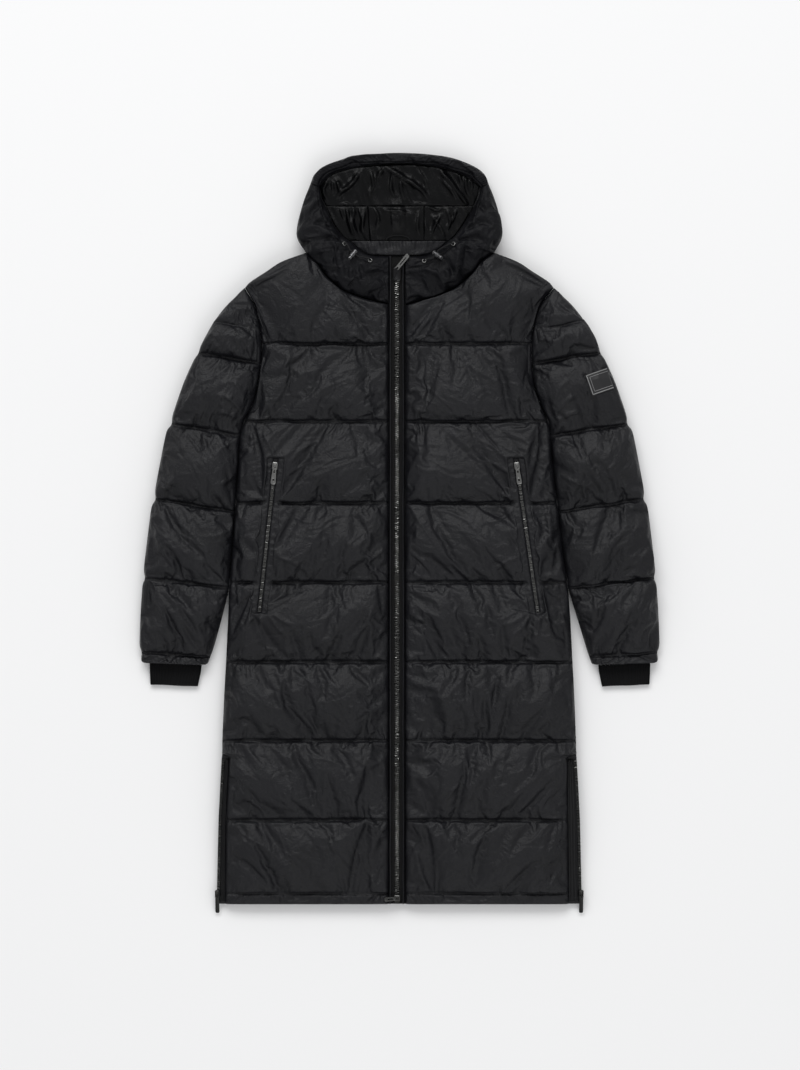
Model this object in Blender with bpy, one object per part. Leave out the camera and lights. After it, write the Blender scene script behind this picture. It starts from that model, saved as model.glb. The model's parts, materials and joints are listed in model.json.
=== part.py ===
"""Long hooded puffer coat, closed and laid flat on its back.

Metres, +Z up. The coat lies on the plane z = 0 with the hood towards +Y, and the origin is
under the middle of its outline. "right" and "left" are the wearer's, so right is towards -X.
The back half of every tube (body, sleeves, hood) lies flat on the surface. The front half,
with its quilted channels, lies on it, one running gap above.
"""
import math

import bmesh
import bpy
from mathutils import Matrix, Vector
from mathutils.bvhtree import BVHTree

# ---------------------------------------------------------------- driving dimensions
GAP = 0.0003              # running gap between touching pieces
SEAM_GAP = 0.0004         # gap in plan where two padded panels meet at a seam
LAYER = 0.022             # height of the back half, where the front half lies on it
LAYER_EDGE = 0.009        # the same at the hem and at the sleeve ends, which are flatter
RIM = 0.004               # thickness of a padded panel at its sewn edge
SEAM_LIFT = 0.005         # how far a quilt seam stands above the rim, away from the edges
PUFF = 0.020              # how far the middle of a channel stands above its seams
HEM_PUFF = 0.15           # the turned-up hem band swells this much of a channel
EDGE_ROUND = 0.048        # width of the rounded border of a panel
ZIP_ROUND = 0.030         # the same beside the main zip
UNDER_ROUND = 0.016       # width of the rounded border of the underside
UNDER_LIFT = 0.007        # height of the underside at its outer edge
SEAM_ROW = 0.018          # distance of the rows that flank each quilt seam

HEM_Y = -0.6307
HEM_STITCH_Y = -0.6129
LAST_SEAM_Y = -0.487
QUILT_SEAMS = (HEM_Y, HEM_STITCH_Y, LAST_SEAM_Y, -0.3519, -0.2184, -0.0833, 0.0519, 0.1904, 0.3221)
TOP_SEAM_Y = QUILT_SEAMS[-1]

# Outline of the front body, a row for each height: y, x of the right edge, x of the left edge.
# The last eight rows are the armhole.
BODY_EDGE = (
    (-0.6307, -0.2966, 0.2881), (-0.6129, -0.2966, 0.2881), (-0.5499, -0.2958, 0.2873),
    (-0.4870, -0.2949, 0.2864), (-0.4190, -0.2915, 0.2856), (-0.3799, -0.2892, 0.2856),
    (-0.3749, -0.3012, 0.3004), (-0.3519, -0.3012, 0.3000), (-0.2848, -0.2984, 0.2975),
    (-0.2184, -0.2949, 0.2941),
    (-0.1505, -0.2915, 0.2907), (-0.0833, -0.2893, 0.2859), (-0.0161, -0.2841, 0.2763),
    (0.0519, -0.2787, 0.2688), (0.1215, -0.2750, 0.2604), (0.1742, -0.2706, 0.2568),
    (0.1904, -0.2643, 0.2535), (0.2218, -0.2490, 0.2388), (0.2541, -0.2397, 0.2286),
    (0.2881, -0.2354, 0.2252), (0.3221, -0.2337, 0.2244), (0.3459, -0.2363, 0.2269),
    (0.3833, -0.2440, 0.2363), (0.4173, -0.2626, 0.2618),
)
# Outline of the back body along the side vents, where it carries the vent zips.
VENT_EDGE = (
    (-0.6307, -0.3120, 0.3120), (-0.6129, -0.3111, 0.3102), (-0.5499, -0.3094, 0.3085),
    (-0.4870, -0.3077, 0.3068), (-0.4190, -0.3043, 0.3034), (-0.3799, -0.3021, 0.3009),
)
VENT_TOP_Y = -0.3830
# Top row of each front: along the shoulder, then down the neck seam to the zip.
SHOULDER = {
    "right": ((-0.2626, 0.4173), (-0.2525, 0.4276), (-0.2262, 0.4446), (-0.1998, 0.4616)),
    "left": ((0.2618, 0.4173), (0.2525, 0.4276), (0.2262, 0.4446), (0.1998, 0.4616)),
}
NECK_SEAM = {
    "right": ((-0.1589, 0.4768), (-0.1402, 0.4598), (-0.1249, 0.4377), (-0.0960, 0.4131),
              (-0.0586, 0.3987), (-0.0189, 0.3891)),
    "left": ((0.1606, 0.4768), (0.1385, 0.4615), (0.1215, 0.4394), (0.0918, 0.4156),
             (0.0536, 0.4003), (0.0104, 0.3879)),
}
FAN_STEPS = (0.28, 0.64, 1.0)      # the armhole points above the top quilt seam
ZIP_EDGE = {"right": -0.0189, "left": 0.0104}

# Sleeve, a row for each section from the cap down: swell and the outer point, as on the right.
SLEEVE_ROWS = (
    (0.40, -0.2762, 0.4046), (0.80, -0.2959, 0.3851), (0.35, -0.3165, 0.3579),
    (1.00, -0.3320, 0.3306), (0.00, -0.3439, 0.3068), (1.00, -0.3635, 0.2643),
    (1.00, -0.3754, 0.2320), (0.50, -0.3845, 0.2048), (0.00, -0.3896, 0.1861),
    (0.60, -0.3966, 0.1709), (1.00, -0.4060, 0.1249), (0.60, -0.4145, 0.0790),
    (0.00, -0.4170, 0.0586), (0.60, -0.4221, 0.0416), (1.00, -0.4284, -0.0076),
    (0.60, -0.4340, -0.0552), (0.00, -0.4349, -0.0756), (0.60, -0.4374, -0.0926),
    (1.00, -0.4408, -0.1436), (0.60, -0.4425, -0.1878), (0.15, -0.4412, -0.2023),
    (0.30, -0.4397, -0.2201),
)
# Inner points from the ninth row down. The first eight rows take the armhole's.
SLEEVE_INNER = {
    "right": (
        (-0.2752, 0.1657), (-0.2764, 0.1487), (-0.2770, 0.1011), (-0.2800, 0.0552),
        (-0.2813, 0.0365), (-0.2825, 0.0178), (-0.2858, -0.0263), (-0.2899, -0.0740),
        (-0.2916, -0.0926), (-0.2940, -0.1096), (-0.3040, -0.1505), (-0.3155, -0.1912),
        (-0.3222, -0.2099), (-0.3272, -0.2235),
    ),
    "left": (
        (0.2598, 0.1657), (0.2606, 0.1487), (0.2638, 0.1011), (0.2693, 0.0552),
        (0.2713, 0.0365), (0.2733, 0.0178), (0.2787, -0.0263), (0.2858, -0.0740),
        (0.2885, -0.0926), (0.2918, -0.1096), (0.3045, -0.1505), (0.3170, -0.1912),
        (0.3232, -0.2099), (0.3280, -0.2235),
    ),
}
SLEEVE_FLAT_FROM, SLEEVE_FLAT_TO = -0.084, -0.222     # the sleeve flattens between these heights
CUFF_ROWS = ((-0.4257, -0.3376), (-0.4252, -0.3390), (-0.4246, -0.3418), (-0.4240, -0.3443))
CUFF_SHIFT = {"right": 0.0, "left": 0.0015}
CUFF_TOP_Y, CUFF_END_Y = (-0.2213, -0.2246), (-0.2570, -0.2602)   # at its outer and inner side
CUFF_HEIGHT, CUFF_WALL = 0.0085, 0.0028
CUFF_CORNERS = 12

# Hood side with its half of the stand-up front, a row for each section from the crown to the
# zip: inner point (edge of the face opening), outer point (outline, then neck seam), puff.
HOOD_SIDE = {
    "right": (
        (-0.1360, 0.5873, -0.1513, 0.5941, 0.010), (-0.1318, 0.5686, -0.1615, 0.5686, 0.015),
        (-0.1215, 0.5465, -0.1691, 0.5432, 0.019), (-0.1113, 0.5244, -0.1742, 0.5193, 0.022),
        (-0.0960, 0.5057, -0.1734, 0.5006, 0.023), (-0.0824, 0.4955, -0.1589, 0.4768, 0.022),
        (-0.0706, 0.4853, -0.1402, 0.4598, 0.020), (-0.0569, 0.4751, -0.1249, 0.4377, 0.018),
        (-0.0399, 0.4717, -0.0960, 0.4131, 0.018), (-0.0297, 0.4717, -0.0586, 0.3987, 0.015),
        (-0.0189, 0.4717, -0.0189, 0.3891, 0.005),
    ),
    "left": (
        (0.1385, 0.5873, 0.1513, 0.5941, 0.010), (0.1334, 0.5686, 0.1615, 0.5686, 0.015),
        (0.1215, 0.5465, 0.1691, 0.5432, 0.019), (0.1079, 0.5244, 0.1742, 0.5193, 0.022),
        (0.0926, 0.5040, 0.1734, 0.5006, 0.023), (0.0808, 0.4955, 0.1606, 0.4768, 0.022),
        (0.0688, 0.4853, 0.1385, 0.4615, 0.020), (0.0519, 0.4751, 0.1215, 0.4394, 0.018),
        (0.0348, 0.4717, 0.0918, 0.4156, 0.018), (0.0229, 0.4717, 0.0536, 0.4003, 0.015),
        (0.0104, 0.4717, 0.0104, 0.3879, 0.005),
    ),
}
HOOD_RIM = 0.003
# Brim tunnel over the crown, from right to left: outer point, inner point.
HOOD_BRIM = (
    (-0.1505, 0.5979, -0.1368, 0.5894), (-0.1436, 0.6111, -0.1283, 0.5992),
    (-0.1249, 0.6247, -0.1113, 0.6129), (-0.0892, 0.6383, -0.0740, 0.6230),
    (-0.0450, 0.6446, -0.0331, 0.6273), (0.0008, 0.6468, 0.0008, 0.6290),
    (0.0467, 0.6446, 0.0348, 0.6273), (0.0892, 0.6383, 0.0740, 0.6213),
    (0.1249, 0.6247, 0.1096, 0.6094), (0.1436, 0.6111, 0.1283, 0.5975),
    (0.1505, 0.5979, 0.1385, 0.5894),
)
BRIM_PUFF = 0.011
# Back of the hood, from the neck up: y, x of its right edge, x of its left edge.
HOOD_BACK = (
    (0.4772, -0.1580, 0.1598), (0.5006, -0.1709, 0.1717), (0.5193, -0.1717, 0.1717),
    (0.5432, -0.1666, 0.1666), (0.5686, -0.1589, 0.1589), (0.5941, -0.1487, 0.1487),
    (0.6111, -0.1402, 0.1402), (0.6247, -0.1215, 0.1215), (0.6383, -0.0858, 0.0858),
    (0.6443, -0.0450, 0.0467),
)
LINING_THICK = 0.004
LINING_CLEAR = 0.0009
LINING_SIDES = ((0.5571, 0.1251), (0.5686, 0.1309), (0.5865, 0.1351))   # upper lining: y, half width
LINING_ARCH = (0.992, 0.0008)      # it follows the brim, narrower by this share and this far in
# Lower lining of the hood: y, right edge, right seam, left seam, left edge.
LINING_ROWS = (
    (0.5563, -0.1260, -0.0541, 0.0416, 0.1266), (0.5465, -0.1215, -0.0534, 0.0416, 0.1215),
    (0.5244, -0.1113, -0.0519, 0.0416, 0.1079), (0.5057, -0.0960, -0.0508, 0.0416, 0.0940),
    (0.4977, -0.0853, -0.0503, 0.0416, 0.0836),
)
# Neck band inside the hood: y, right end, left end.
NECK_BAND = (
    (0.4723, -0.0410, 0.0360), (0.4751, -0.0555, 0.0505), (0.4853, -0.0697, 0.0679),
    (0.4955, -0.0815, 0.0799), (0.4972, -0.0834, 0.0816),
)
LOOP_ROUTE = ((-0.0230, 0.4985), (-0.0190, 0.5028), (-0.0110, 0.5054), (-0.0026, 0.5060),
              (0.0058, 0.5054), (0.0138, 0.5028), (0.0179, 0.4985))
LOOP_RADIUS = 0.0013

# Main zip, two-way, with moulded teeth
ZIP_X = -0.0042
TAPE = (-0.0184, 0.0099)
TAPE_TOP_Y = 0.4719
TAPE_THICK = 0.0015
EDGING_WIDTH, EDGING_HEIGHT = 0.0040, 0.0060
CHAIN_WIDTH, CHAIN_HEIGHT = 0.0066, 0.0028
CHAIN_Y = (-0.6140, 0.4288)
SLIDER_MID_Y = 0.4406
LOWER_SLIDER_Y = -0.6200

BOX_HALF, BOX_HEIGHT = 0.0045, 0.0045
BOX_Y = (-0.6303, -0.6262)

# Slanting pocket zips: y range, and x of the middle line at two heights.
POCKET_TOP_Y, POCKET_END_Y = 0.1260, -0.1330
POCKET_LINE = {"right": ((0.1215, -0.2103), (-0.1283, -0.2371)),
               "left": ((0.1215, 0.1980), (-0.1283, 0.2337))}
POCKET_HALF = 0.011
POCKET_LIFT, POCKET_SWELL = 0.007, 0.005
POCKET_TAPE = 0.0018
POCKET_SLIDER_Y = 0.1145
POCKET_FLAT_Y = 0.099              # the welt is level from here up, under the slider
POCKET_CHAIN_HALF, POCKET_CHAIN_HEIGHT = 0.0027, 0.0020

# Side vent zips, lying on the back outside the fronts
VENT_CHAIN = (0.0002, 0.0049)      # its outer and inner side, in from the back's edge
VENT_TAPE_IN = 0.0052              # the tape's outer side, likewise
VENT_TAPE_UP, VENT_CHAIN_UP, VENT_SLIDER_UP = 0.0045, 0.0245, 0.0175    # heights over the hem
VENT_SLIDER_IN = 0.0008

# Slider bodies: width, length, height
MAIN_SLIDER = (0.0130, 0.0225, 0.0065)
LOWER_SLIDER = (0.0105, 0.0105, 0.0070)
POCKET_SLIDER = (0.0090, 0.0125, 0.0045)
VENT_SLIDER = (0.0078, 0.0125, 0.0062)
SLIDER_CORNER, SLIDER_SHOULDER, SLIDER_DROP = 0.22, 0.14, 0.18    # shares of width and height
# Pulls: length, width at the tip, tilt in degrees, and hinge ahead of the slider's middle
MAIN_PULL = (0.0300, 0.0072, 10, 0.0095)
LOWER_PULL = (0.0220, 0.0072, 9, 0.0)
POCKET_PULL = (0.0300, 0.0088, -5, -0.0015)
VENT_PULL = (0.0329, 0.0072, -26, -0.0030)
MAIN_PULL_WAY, LOWER_PULL_WAY = (0.0193, 0.0230), (-1.0, -0.06)

PULL_THICK = 0.0016
LUG_SIDE, LUG_HEIGHT, HINGE_HEIGHT = 0.0018, 0.0026, 0.0017
FORK_SLOT = 0.0034
FORK_CHEEK, FORK_DEPTH, PULL_HEEL, PULL_NECK, TIP_CUT = 0.0015, 0.0024, 0.0011, 0.0040, 0.0030
TIP_SHARE = 0.6                                # the tip's end against its full width

PATCH = ((0.3136, 0.2681), (0.3261, 0.2322), (0.3638, 0.2456), (0.3513, 0.2815))
PATCH_THICK, PATCH_CLEAR = 0.0022, 0.0008
PATCH_GRID = (10, 19)                          # points along its short side and its long side

SIGN = {"right": -1, "left": 1}
COLUMN = {"right": 1, "left": 2}
CLOTH = "nylon_black"


# ---------------------------------------------------------------- scene and materials
def clear_scene():
    for item in list(bpy.data.objects):
        bpy.data.objects.remove(item, do_unlink=True)


def make_collection(name):
    group = bpy.data.collections.new(name)
    bpy.context.scene.collection.children.link(group)
    return group


def make_material(name, colour, roughness, metallic=0.0):
    material = bpy.data.materials.new(name)
    material.use_nodes = True
    shader = material.node_tree.nodes["Principled BSDF"]
    shader.inputs["Base Color"].default_value = (*colour, 1.0)
    shader.inputs["Roughness"].default_value = roughness
    shader.inputs["Metallic"].default_value = metallic
    return material


clear_scene()
COAT = make_collection("long_puffer_coat")
MATERIALS = {
    "nylon_black": make_material("nylon_black", (0.022, 0.022, 0.025), 0.55),
    "lining_black": make_material("lining_black", (0.016, 0.016, 0.018), 0.45),
    "rib_black": make_material("rib_black", (0.012, 0.012, 0.013), 0.9),
    "tape_black": make_material("tape_black", (0.012, 0.012, 0.013), 0.8),
    "teeth_dark": make_material("teeth_dark", (0.05, 0.05, 0.05), 0.35),
    "gunmetal": make_material("gunmetal", (0.18, 0.18, 0.18), 0.3, 1.0),
    "nickel": make_material("nickel", (0.5, 0.5, 0.49), 0.28, 1.0),
    "lock_plastic": make_material("lock_plastic", (0.03, 0.03, 0.03), 0.35),
    "elastic_black": make_material("elastic_black", (0.01, 0.01, 0.01), 0.85),
    "patch_rubber": make_material("patch_rubber", (0.03, 0.03, 0.03), 0.6),
}


def add_object(name, data, material):
    """Link mesh or curve data as one named object of the coat."""
    data.materials.append(MATERIALS[material])
    item = bpy.data.objects.new(name, data)
    COAT.objects.link(item)
    return item


def finish_mesh(name, shape, material):
    bmesh.ops.recalc_face_normals(shape, faces=shape.faces)
    data = bpy.data.meshes.new(name)
    shape.to_mesh(data)
    shape.free()
    return add_object(name, data, material)


# ---------------------------------------------------------------- helpers for padded layers
def table_value(table, y, column):
    """Straight-line reading of a table whose first column rises."""
    for low, high in zip(table, table[1:]):
        if y <= high[0]:
            share = (y - low[0]) / (high[0] - low[0])
            return low[column] + share * (high[column] - low[column])
    return table[-1][column]


def layer_height(y):
    """Top of the back half: level, and falling to the hem below the last quilt seam."""
    share = min(1.0, max(0.0, (LAST_SEAM_Y - y) / (LAST_SEAM_Y - HEM_Y)))
    return LAYER + share * (LAYER_EDGE - LAYER)


def sleeve_layer(y):
    share = (SLEEVE_FLAT_FROM - y) / (SLEEVE_FLAT_FROM - SLEEVE_FLAT_TO)
    return LAYER + min(1.0, max(0.0, share)) * (LAYER_EDGE - LAYER)


def crown(distance, width):
    """Quarter-round border: 0 at the edge of a panel, 1 from `width` inwards."""
    share = min(1.0, max(0.0, distance / width))
    return math.sqrt(1.0 - (1.0 - share) ** 2)


def channel_swell(y):
    """0 on a quilt seam, 1 half-way up a channel."""
    for low, high in zip(QUILT_SEAMS, QUILT_SEAMS[1:]):
        if y <= high:
            share = max(0.0, (y - low) / (high - low))
            limit = HEM_PUFF if high == HEM_STITCH_Y else 1.0
            return limit * (4.0 * share * (1.0 - share)) ** 0.45
    return 0.0


def mix(a, b, share):
    return (a[0] + (b[0] - a[0]) * share, a[1] + (b[1] - a[1]) * share)


def fractions(points):
    """Share of a polyline's length at which each of its points lies."""
    steps = [0.0]
    for a, b in zip(points, points[1:]):
        steps.append(steps[-1] + math.dist(a, b))
    return [step / steps[-1] for step in steps]


def padded_layer(name, plan, low, high, material=CLOTH):
    """One closed piece: a grid laid out as `plan[row][column]`, extruded from its lower
    heights to its upper ones."""
    rows, columns = len(plan), len(plan[0])
    shape = bmesh.new()
    place = shape.verts.layers.int.new("place")
    bmesh.ops.create_grid(shape, x_segments=columns - 1, y_segments=rows - 1, size=1.0)
    for vertex in shape.verts:
        column = round((vertex.co.x + 1.0) / 2.0 * (columns - 1))
        row = round((vertex.co.y + 1.0) / 2.0 * (rows - 1))
        vertex[place] = row * columns + column
    bmesh.ops.triangulate(shape, faces=shape.faces, quad_method="FIXED")
    upper = bmesh.ops.extrude_face_region(shape, geom=shape.faces[:])["geom"]
    upper = {item for item in upper if isinstance(item, bmesh.types.BMVert)}
    for vertex in shape.verts:
        row, column = divmod(vertex[place], columns)
        heights = high if vertex in upper else low
        vertex.co = (*plan[row][column], heights[row][column])
    bmesh.ops.triangulate(shape, faces=[f for f in shape.faces if len(f.verts) > 3])
    return finish_mesh(name, shape, material)


def under_height(distance):
    return UNDER_LIFT * (1.0 - crown(distance, UNDER_ROUND))


# ---------------------------------------------------------------- body
def body_rows():
    """Heights of the rows below the top seam: the outline's own and those beside each seam."""
    heights = {row[0] for row in BODY_EDGE if row[0] <= TOP_SEAM_Y}
    for seam in QUILT_SEAMS[2:]:
        heights.update((seam - SEAM_ROW, seam + SEAM_ROW))
    heights.update((POCKET_TOP_Y, POCKET_FLAT_Y, POCKET_END_Y))
    return sorted(y for y in heights if y <= TOP_SEAM_Y)


def pocket_x(side, y):
    (y_a, x_a), (y_b, x_b) = POCKET_LINE[side]
    return x_a + (x_b - x_a) * (y - y_a) / (y_b - y_a)


def on_pocket(y):
    return POCKET_END_Y - 1e-6 <= y <= POCKET_TOP_Y + 1e-6


def front_top_row(side):
    neck = NECK_SEAM[side]
    return list(SHOULDER[side] + neck[:-1]) + [mix(neck[-2], neck[-1], 0.85), neck[-1]]


def front_plan(side):
    """Plan points of a front, from the side edge to the zip, and each row's swell."""
    top = front_top_row(side)
    shares = fractions(top)
    zip_edge = ZIP_EDGE[side]
    plan, swells = [], []
    for y in body_rows():
        edge = (table_value(BODY_EDGE, y, COLUMN[side]), y)
        row = [mix(edge, (zip_edge, y), share) for share in shares]
        if on_pocket(y):
            middle = pocket_x(side, y)
            row[2] = (middle + SIGN[side] * POCKET_HALF, y)
            row[3] = (middle - SIGN[side] * POCKET_HALF, y)
        plan.append(row)
        swells.append(channel_swell(y))
    base = plan[-1]
    armhole = [(row[COLUMN[side]], row[0]) for row in BODY_EDGE[-3:]]
    for step, corner in zip(FAN_STEPS, armhole):
        row = [mix(a, b, step) for a, b in zip(base, top)]
        shift = (corner[0] - row[0][0], corner[1] - row[0][1])
        row = [(p[0] + shift[0] * (1 - s) ** 2, p[1] + shift[1] * (1 - s) ** 2)
               for p, s in zip(row, shares)]
        plan.append(row)
        swells.append((4.0 * step * (1.0 - step)) ** 0.45)
    plan[-1] = [(x, y - SEAM_GAP) for x, y in plan[-1]]
    return plan, swells


def front_heights(plan, swells):
    low, high = [], []
    for row, swell in zip(plan, swells):
        floor = [layer_height(y) + GAP for _, y in row]
        top = []
        for index, (point, base) in enumerate(zip(row, floor)):
            border = crown(math.dist(point, row[0]), EDGE_ROUND)
            border = min(border, 0.15 + 0.85 * crown(math.dist(point, row[-1]), ZIP_ROUND))
            lift = border * (SEAM_LIFT + PUFF * swell)
            if index in (2, 3) and on_pocket(point[1]):
                lift = POCKET_LIFT + POCKET_SWELL * min(1.0, swell / 0.9)
            top.append(base + RIM + lift)
        low.append(floor)
        high.append(top)
    return low, high


def make_front(side):
    plan, swells = front_plan(side)
    low, high = front_heights(plan, swells)
    padded_layer(f"front_{side}", plan, low, high)
    return plan, high


def back_edge(y, side):
    if y <= VENT_EDGE[-1][0]:
        return table_value(VENT_EDGE, y, COLUMN[side])
    return table_value(BODY_EDGE, y, COLUMN[side])


def make_back():
    right = list(SHOULDER["right"][:2]) + [SHOULDER["right"][3], NECK_SEAM["right"][0]]
    left = list(SHOULDER["left"][:2]) + [SHOULDER["left"][3], NECK_SEAM["left"][0]]
    top = right + [(0.0, right[-1][1])] + left[::-1]
    shares = fractions(top)
    plan = []
    for y in sorted({row[0] for row in BODY_EDGE if row[0] <= TOP_SEAM_Y}):
        ends = (back_edge(y, "right"), y), (back_edge(y, "left"), y)
        plan.append([mix(*ends, share) for share in shares])
    base = plan[-1]
    for step, (y, x_right, x_left) in zip(FAN_STEPS, BODY_EDGE[-3:]):
        row = [mix(a, b, step) for a, b in zip(base, top)]
        row = [(p[0] + (x_right - row[0][0]) * (1 - s) ** 8 + (x_left - row[-1][0]) * s ** 8,
                p[1] + (y - row[0][1]) * ((1 - s) ** 8 + s ** 8)) for p, s in zip(row, shares)]
        plan.append(row)
    high = [[layer_height(y) for _, y in row] for row in plan]
    low = []
    for index, row in enumerate(plan):
        ends = [min(math.dist(p, row[0]), math.dist(p, row[-1])) for p in row]
        floor = 0.5 * UNDER_LIFT if index == 0 else 0.0
        low.append([max(under_height(end), floor) for end in ends])
    padded_layer("back", plan, low, high)


# ---------------------------------------------------------------- sleeves and cuffs
SLEEVE_SHARES = (0.0, 0.06, 0.2, 0.4, 0.6, 0.8, 0.94, 1.0)


def sleeve_plan(side):
    """Plan rows of a sleeve from its outer edge to its inner one, which is the armhole's."""
    sign = SIGN[side]
    armhole = [(row[COLUMN[side]], row[0]) for row in BODY_EDGE[:-9:-1]]
    plan = []
    inner = [(x + sign * SEAM_GAP, y) for x, y in armhole] + list(SLEEVE_INNER[side])
    for (_, x, y), inner_point in zip(SLEEVE_ROWS, inner):
        plan.append([mix((-sign * x, y), inner_point, share) for share in SLEEVE_SHARES])
    return plan


def make_sleeve(side):
    plan = sleeve_plan(side)
    layer, top, under = [], [], []
    for row, (swell, *_) in zip(plan, SLEEVE_ROWS):
        base = sleeve_layer(0.5 * (row[0][1] + row[-1][1]))
        width = math.dist(row[0], row[-1])
        reach = min(EDGE_ROUND, 0.5 * width)
        ends = [min(share, 1.0 - share) * width for share in SLEEVE_SHARES]
        scale = min(1.0, width / (2.0 * EDGE_ROUND))
        layer.append(base)
        top.append([base + GAP + RIM + scale * crown(end, reach) * (SEAM_LIFT + PUFF * swell)
                    for end in ends])
        under.append([under_height(end) for end in ends])
    floors = [[base] * len(SLEEVE_SHARES) for base in layer]
    roofs = [[base + GAP] * len(SLEEVE_SHARES) for base in layer]
    padded_layer(f"sleeve_under_{side}", plan, under, floors)
    return padded_layer(f"sleeve_top_{side}", plan, roofs, top)


def make_cuff(side):
    """Flattened rib tube, open at both ends: a ring section lofted along its length."""
    sign = SIGN[side]
    shape = bmesh.new()
    rings = []
    last = len(CUFF_ROWS) - 1
    for index, (x_outer, x_inner) in enumerate(CUFF_ROWS):
        share = index / last
        ends = [(-sign * (x - CUFF_SHIFT[side]), top + share * (end - top))
                for x, top, end in zip((x_outer, x_inner), CUFF_TOP_Y, CUFF_END_Y)]
        width = math.dist(*ends)
        loops = []
        for inset in (0.0, CUFF_WALL):
            half = CUFF_HEIGHT / 2 - inset
            loop = []
            for turn in range(CUFF_CORNERS):
                angle = math.tau * (turn + 0.5) / CUFF_CORNERS
                bend = math.cos(angle)
                along = (width / 2 - CUFF_HEIGHT / 2) * (1 if bend > 0 else -1) + half * bend
                point = mix(*ends, 0.5 + along / width)
                loop.append(shape.verts.new((*point, CUFF_HEIGHT / 2 + half * math.sin(angle))))
            loops.append(loop)
        rings.append(loops)
    for (outer_a, inner_a), (outer_b, inner_b) in zip(rings, rings[1:]):
        for a, b in ((outer_a, outer_b), (inner_a, inner_b)):
            for i in range(CUFF_CORNERS):
                shape.faces.new((a[i], a[i - 1], b[i - 1], b[i]))
    for outer, inner in (rings[0], rings[-1]):
        for i in range(CUFF_CORNERS):
            shape.faces.new((outer[i], outer[i - 1], inner[i - 1], inner[i]))
    return finish_mesh(f"cuff_{side}", shape, "rib_black")


# ---------------------------------------------------------------- hood
HOOD_SHARES = (0.0, 0.08, 0.25, 0.5, 0.75, 0.93, 1.0)


def make_hood_side(side):
    plan, low, high = [], [], []
    for x_in, y_in, x_out, y_out, puff in HOOD_SIDE[side]:
        row = [mix((x_in, y_in), (x_out, y_out), share) for share in HOOD_SHARES]
        width = math.dist(row[0], row[-1])
        plan.append(row)
        low.append([LAYER + GAP] * len(row))
        ends = [min(share, 1.0 - share) * width for share in HOOD_SHARES]
        reach = min(ZIP_ROUND, 0.5 * width)
        swell = puff + SEAM_LIFT * min(1.0, width / EDGE_ROUND)
        high.append([LAYER + GAP + HOOD_RIM + crown(end, reach) * swell for end in ends])
    return padded_layer(f"hood_{side}", plan, low, high)


def make_hood_back():
    shares = (0.0, 0.05, 0.2, 0.5, 0.8, 0.95, 1.0)
    plan, low = [], []
    for index, (y, right, left) in enumerate(HOOD_BACK):
        row = [mix((right, y), (left, y), share) for share in shares]
        ends = [min(share, 1.0 - share) * (left - right) for share in shares]
        last = index == len(HOOD_BACK) - 1
        plan.append(row)
        low.append([UNDER_LIFT if last else under_height(end) for end in ends])
    high = [[LAYER] * len(shares) for _ in plan]
    padded_layer("hood_back", plan, low, high)


def make_brim():
    shares = (0.0, 0.2, 0.5, 0.8, 1.0)
    plan = [[mix(row[:2], row[2:], share) for share in shares] for row in HOOD_BRIM]
    low = [[LAYER + GAP] * len(shares) for _ in plan]
    high = [[LAYER + GAP + HOOD_RIM + BRIM_PUFF * crown(min(s, 1 - s), 0.5) for s in shares]
            for _ in plan]
    padded_layer("hood_brim", plan, low, high)


def slab(name, plan, base, thick, material):
    low = [[base] * len(row) for row in plan]
    high = [[base + thick] * len(row) for row in plan]
    return padded_layer(name, plan, low, high, material)


def make_lining():
    base = LAYER + GAP
    share, inset = LINING_ARCH
    arch = [(x * share, y - inset) for _, _, x, y in HOOD_BRIM]
    shares = fractions(arch)
    plan = [[mix((-half, y), (half, y), share) for share in shares] for y, half in LINING_SIDES]
    slab("hood_lining_upper", plan + [arch], base, LINING_THICK, "lining_black")
    edges = {"right": (1, 2), "middle": (2, 3), "left": (3, 4)}
    for part, (start, end) in edges.items():
        trim_start = LINING_CLEAR if part == "right" else SEAM_GAP
        trim_end = LINING_CLEAR if part == "left" else 0.0
        plan = [[(row[start] + trim_start, row[0]), (row[end] - trim_end, row[0])]
                for row in LINING_ROWS]
        slab(f"hood_lining_{part}", plan, base, LINING_THICK, "lining_black")
    plan = [[(right, y), (left, y)] for y, right, left in NECK_BAND]
    slab("neck_band", plan, base, LINING_THICK, CLOTH)


def tube(name, points, radius, material, resolution=2):
    """Round cord or wire along a run of points."""
    curve = bpy.data.curves.new(name, "CURVE")
    curve.dimensions = "3D"
    spline = curve.splines.new("POLY")
    spline.points.add(len(points) - 1)
    for target, point in zip(spline.points, points):
        target.co = (*point, 1.0)
    curve.bevel_depth = radius
    curve.bevel_resolution = resolution
    curve.resolution_u = 1
    curve.use_fill_caps = True
    return add_object(name, curve, material)


def make_hanger_loop():
    height = LAYER + 2 * GAP + LINING_THICK + LOOP_RADIUS
    tube("hanger_loop", [(x, y, height) for x, y in LOOP_ROUTE], LOOP_RADIUS, "tape_black")


# ---------------------------------------------------------------- zips
def strip(name, rows, thick, material):
    """Flat band across rows of (x_a, x_b, y, z): its underside at z."""
    plan = [[(x_a, y), (x_b, y)] for x_a, x_b, y, _ in rows]
    low = [[z, z] for _, _, _, z in rows]
    high = [[z + thick, z + thick] for _, _, _, z in rows]
    return padded_layer(name, plan, low, high, material)


def zip_rows(x_a, x_b, y_low, y_high, lift):
    """Rows that follow the back half's top, `lift` above it."""
    heights = sorted({y_low, y_high, LAST_SEAM_Y})
    return [(x_a, x_b, y, layer_height(y) + lift) for y in heights]


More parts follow.
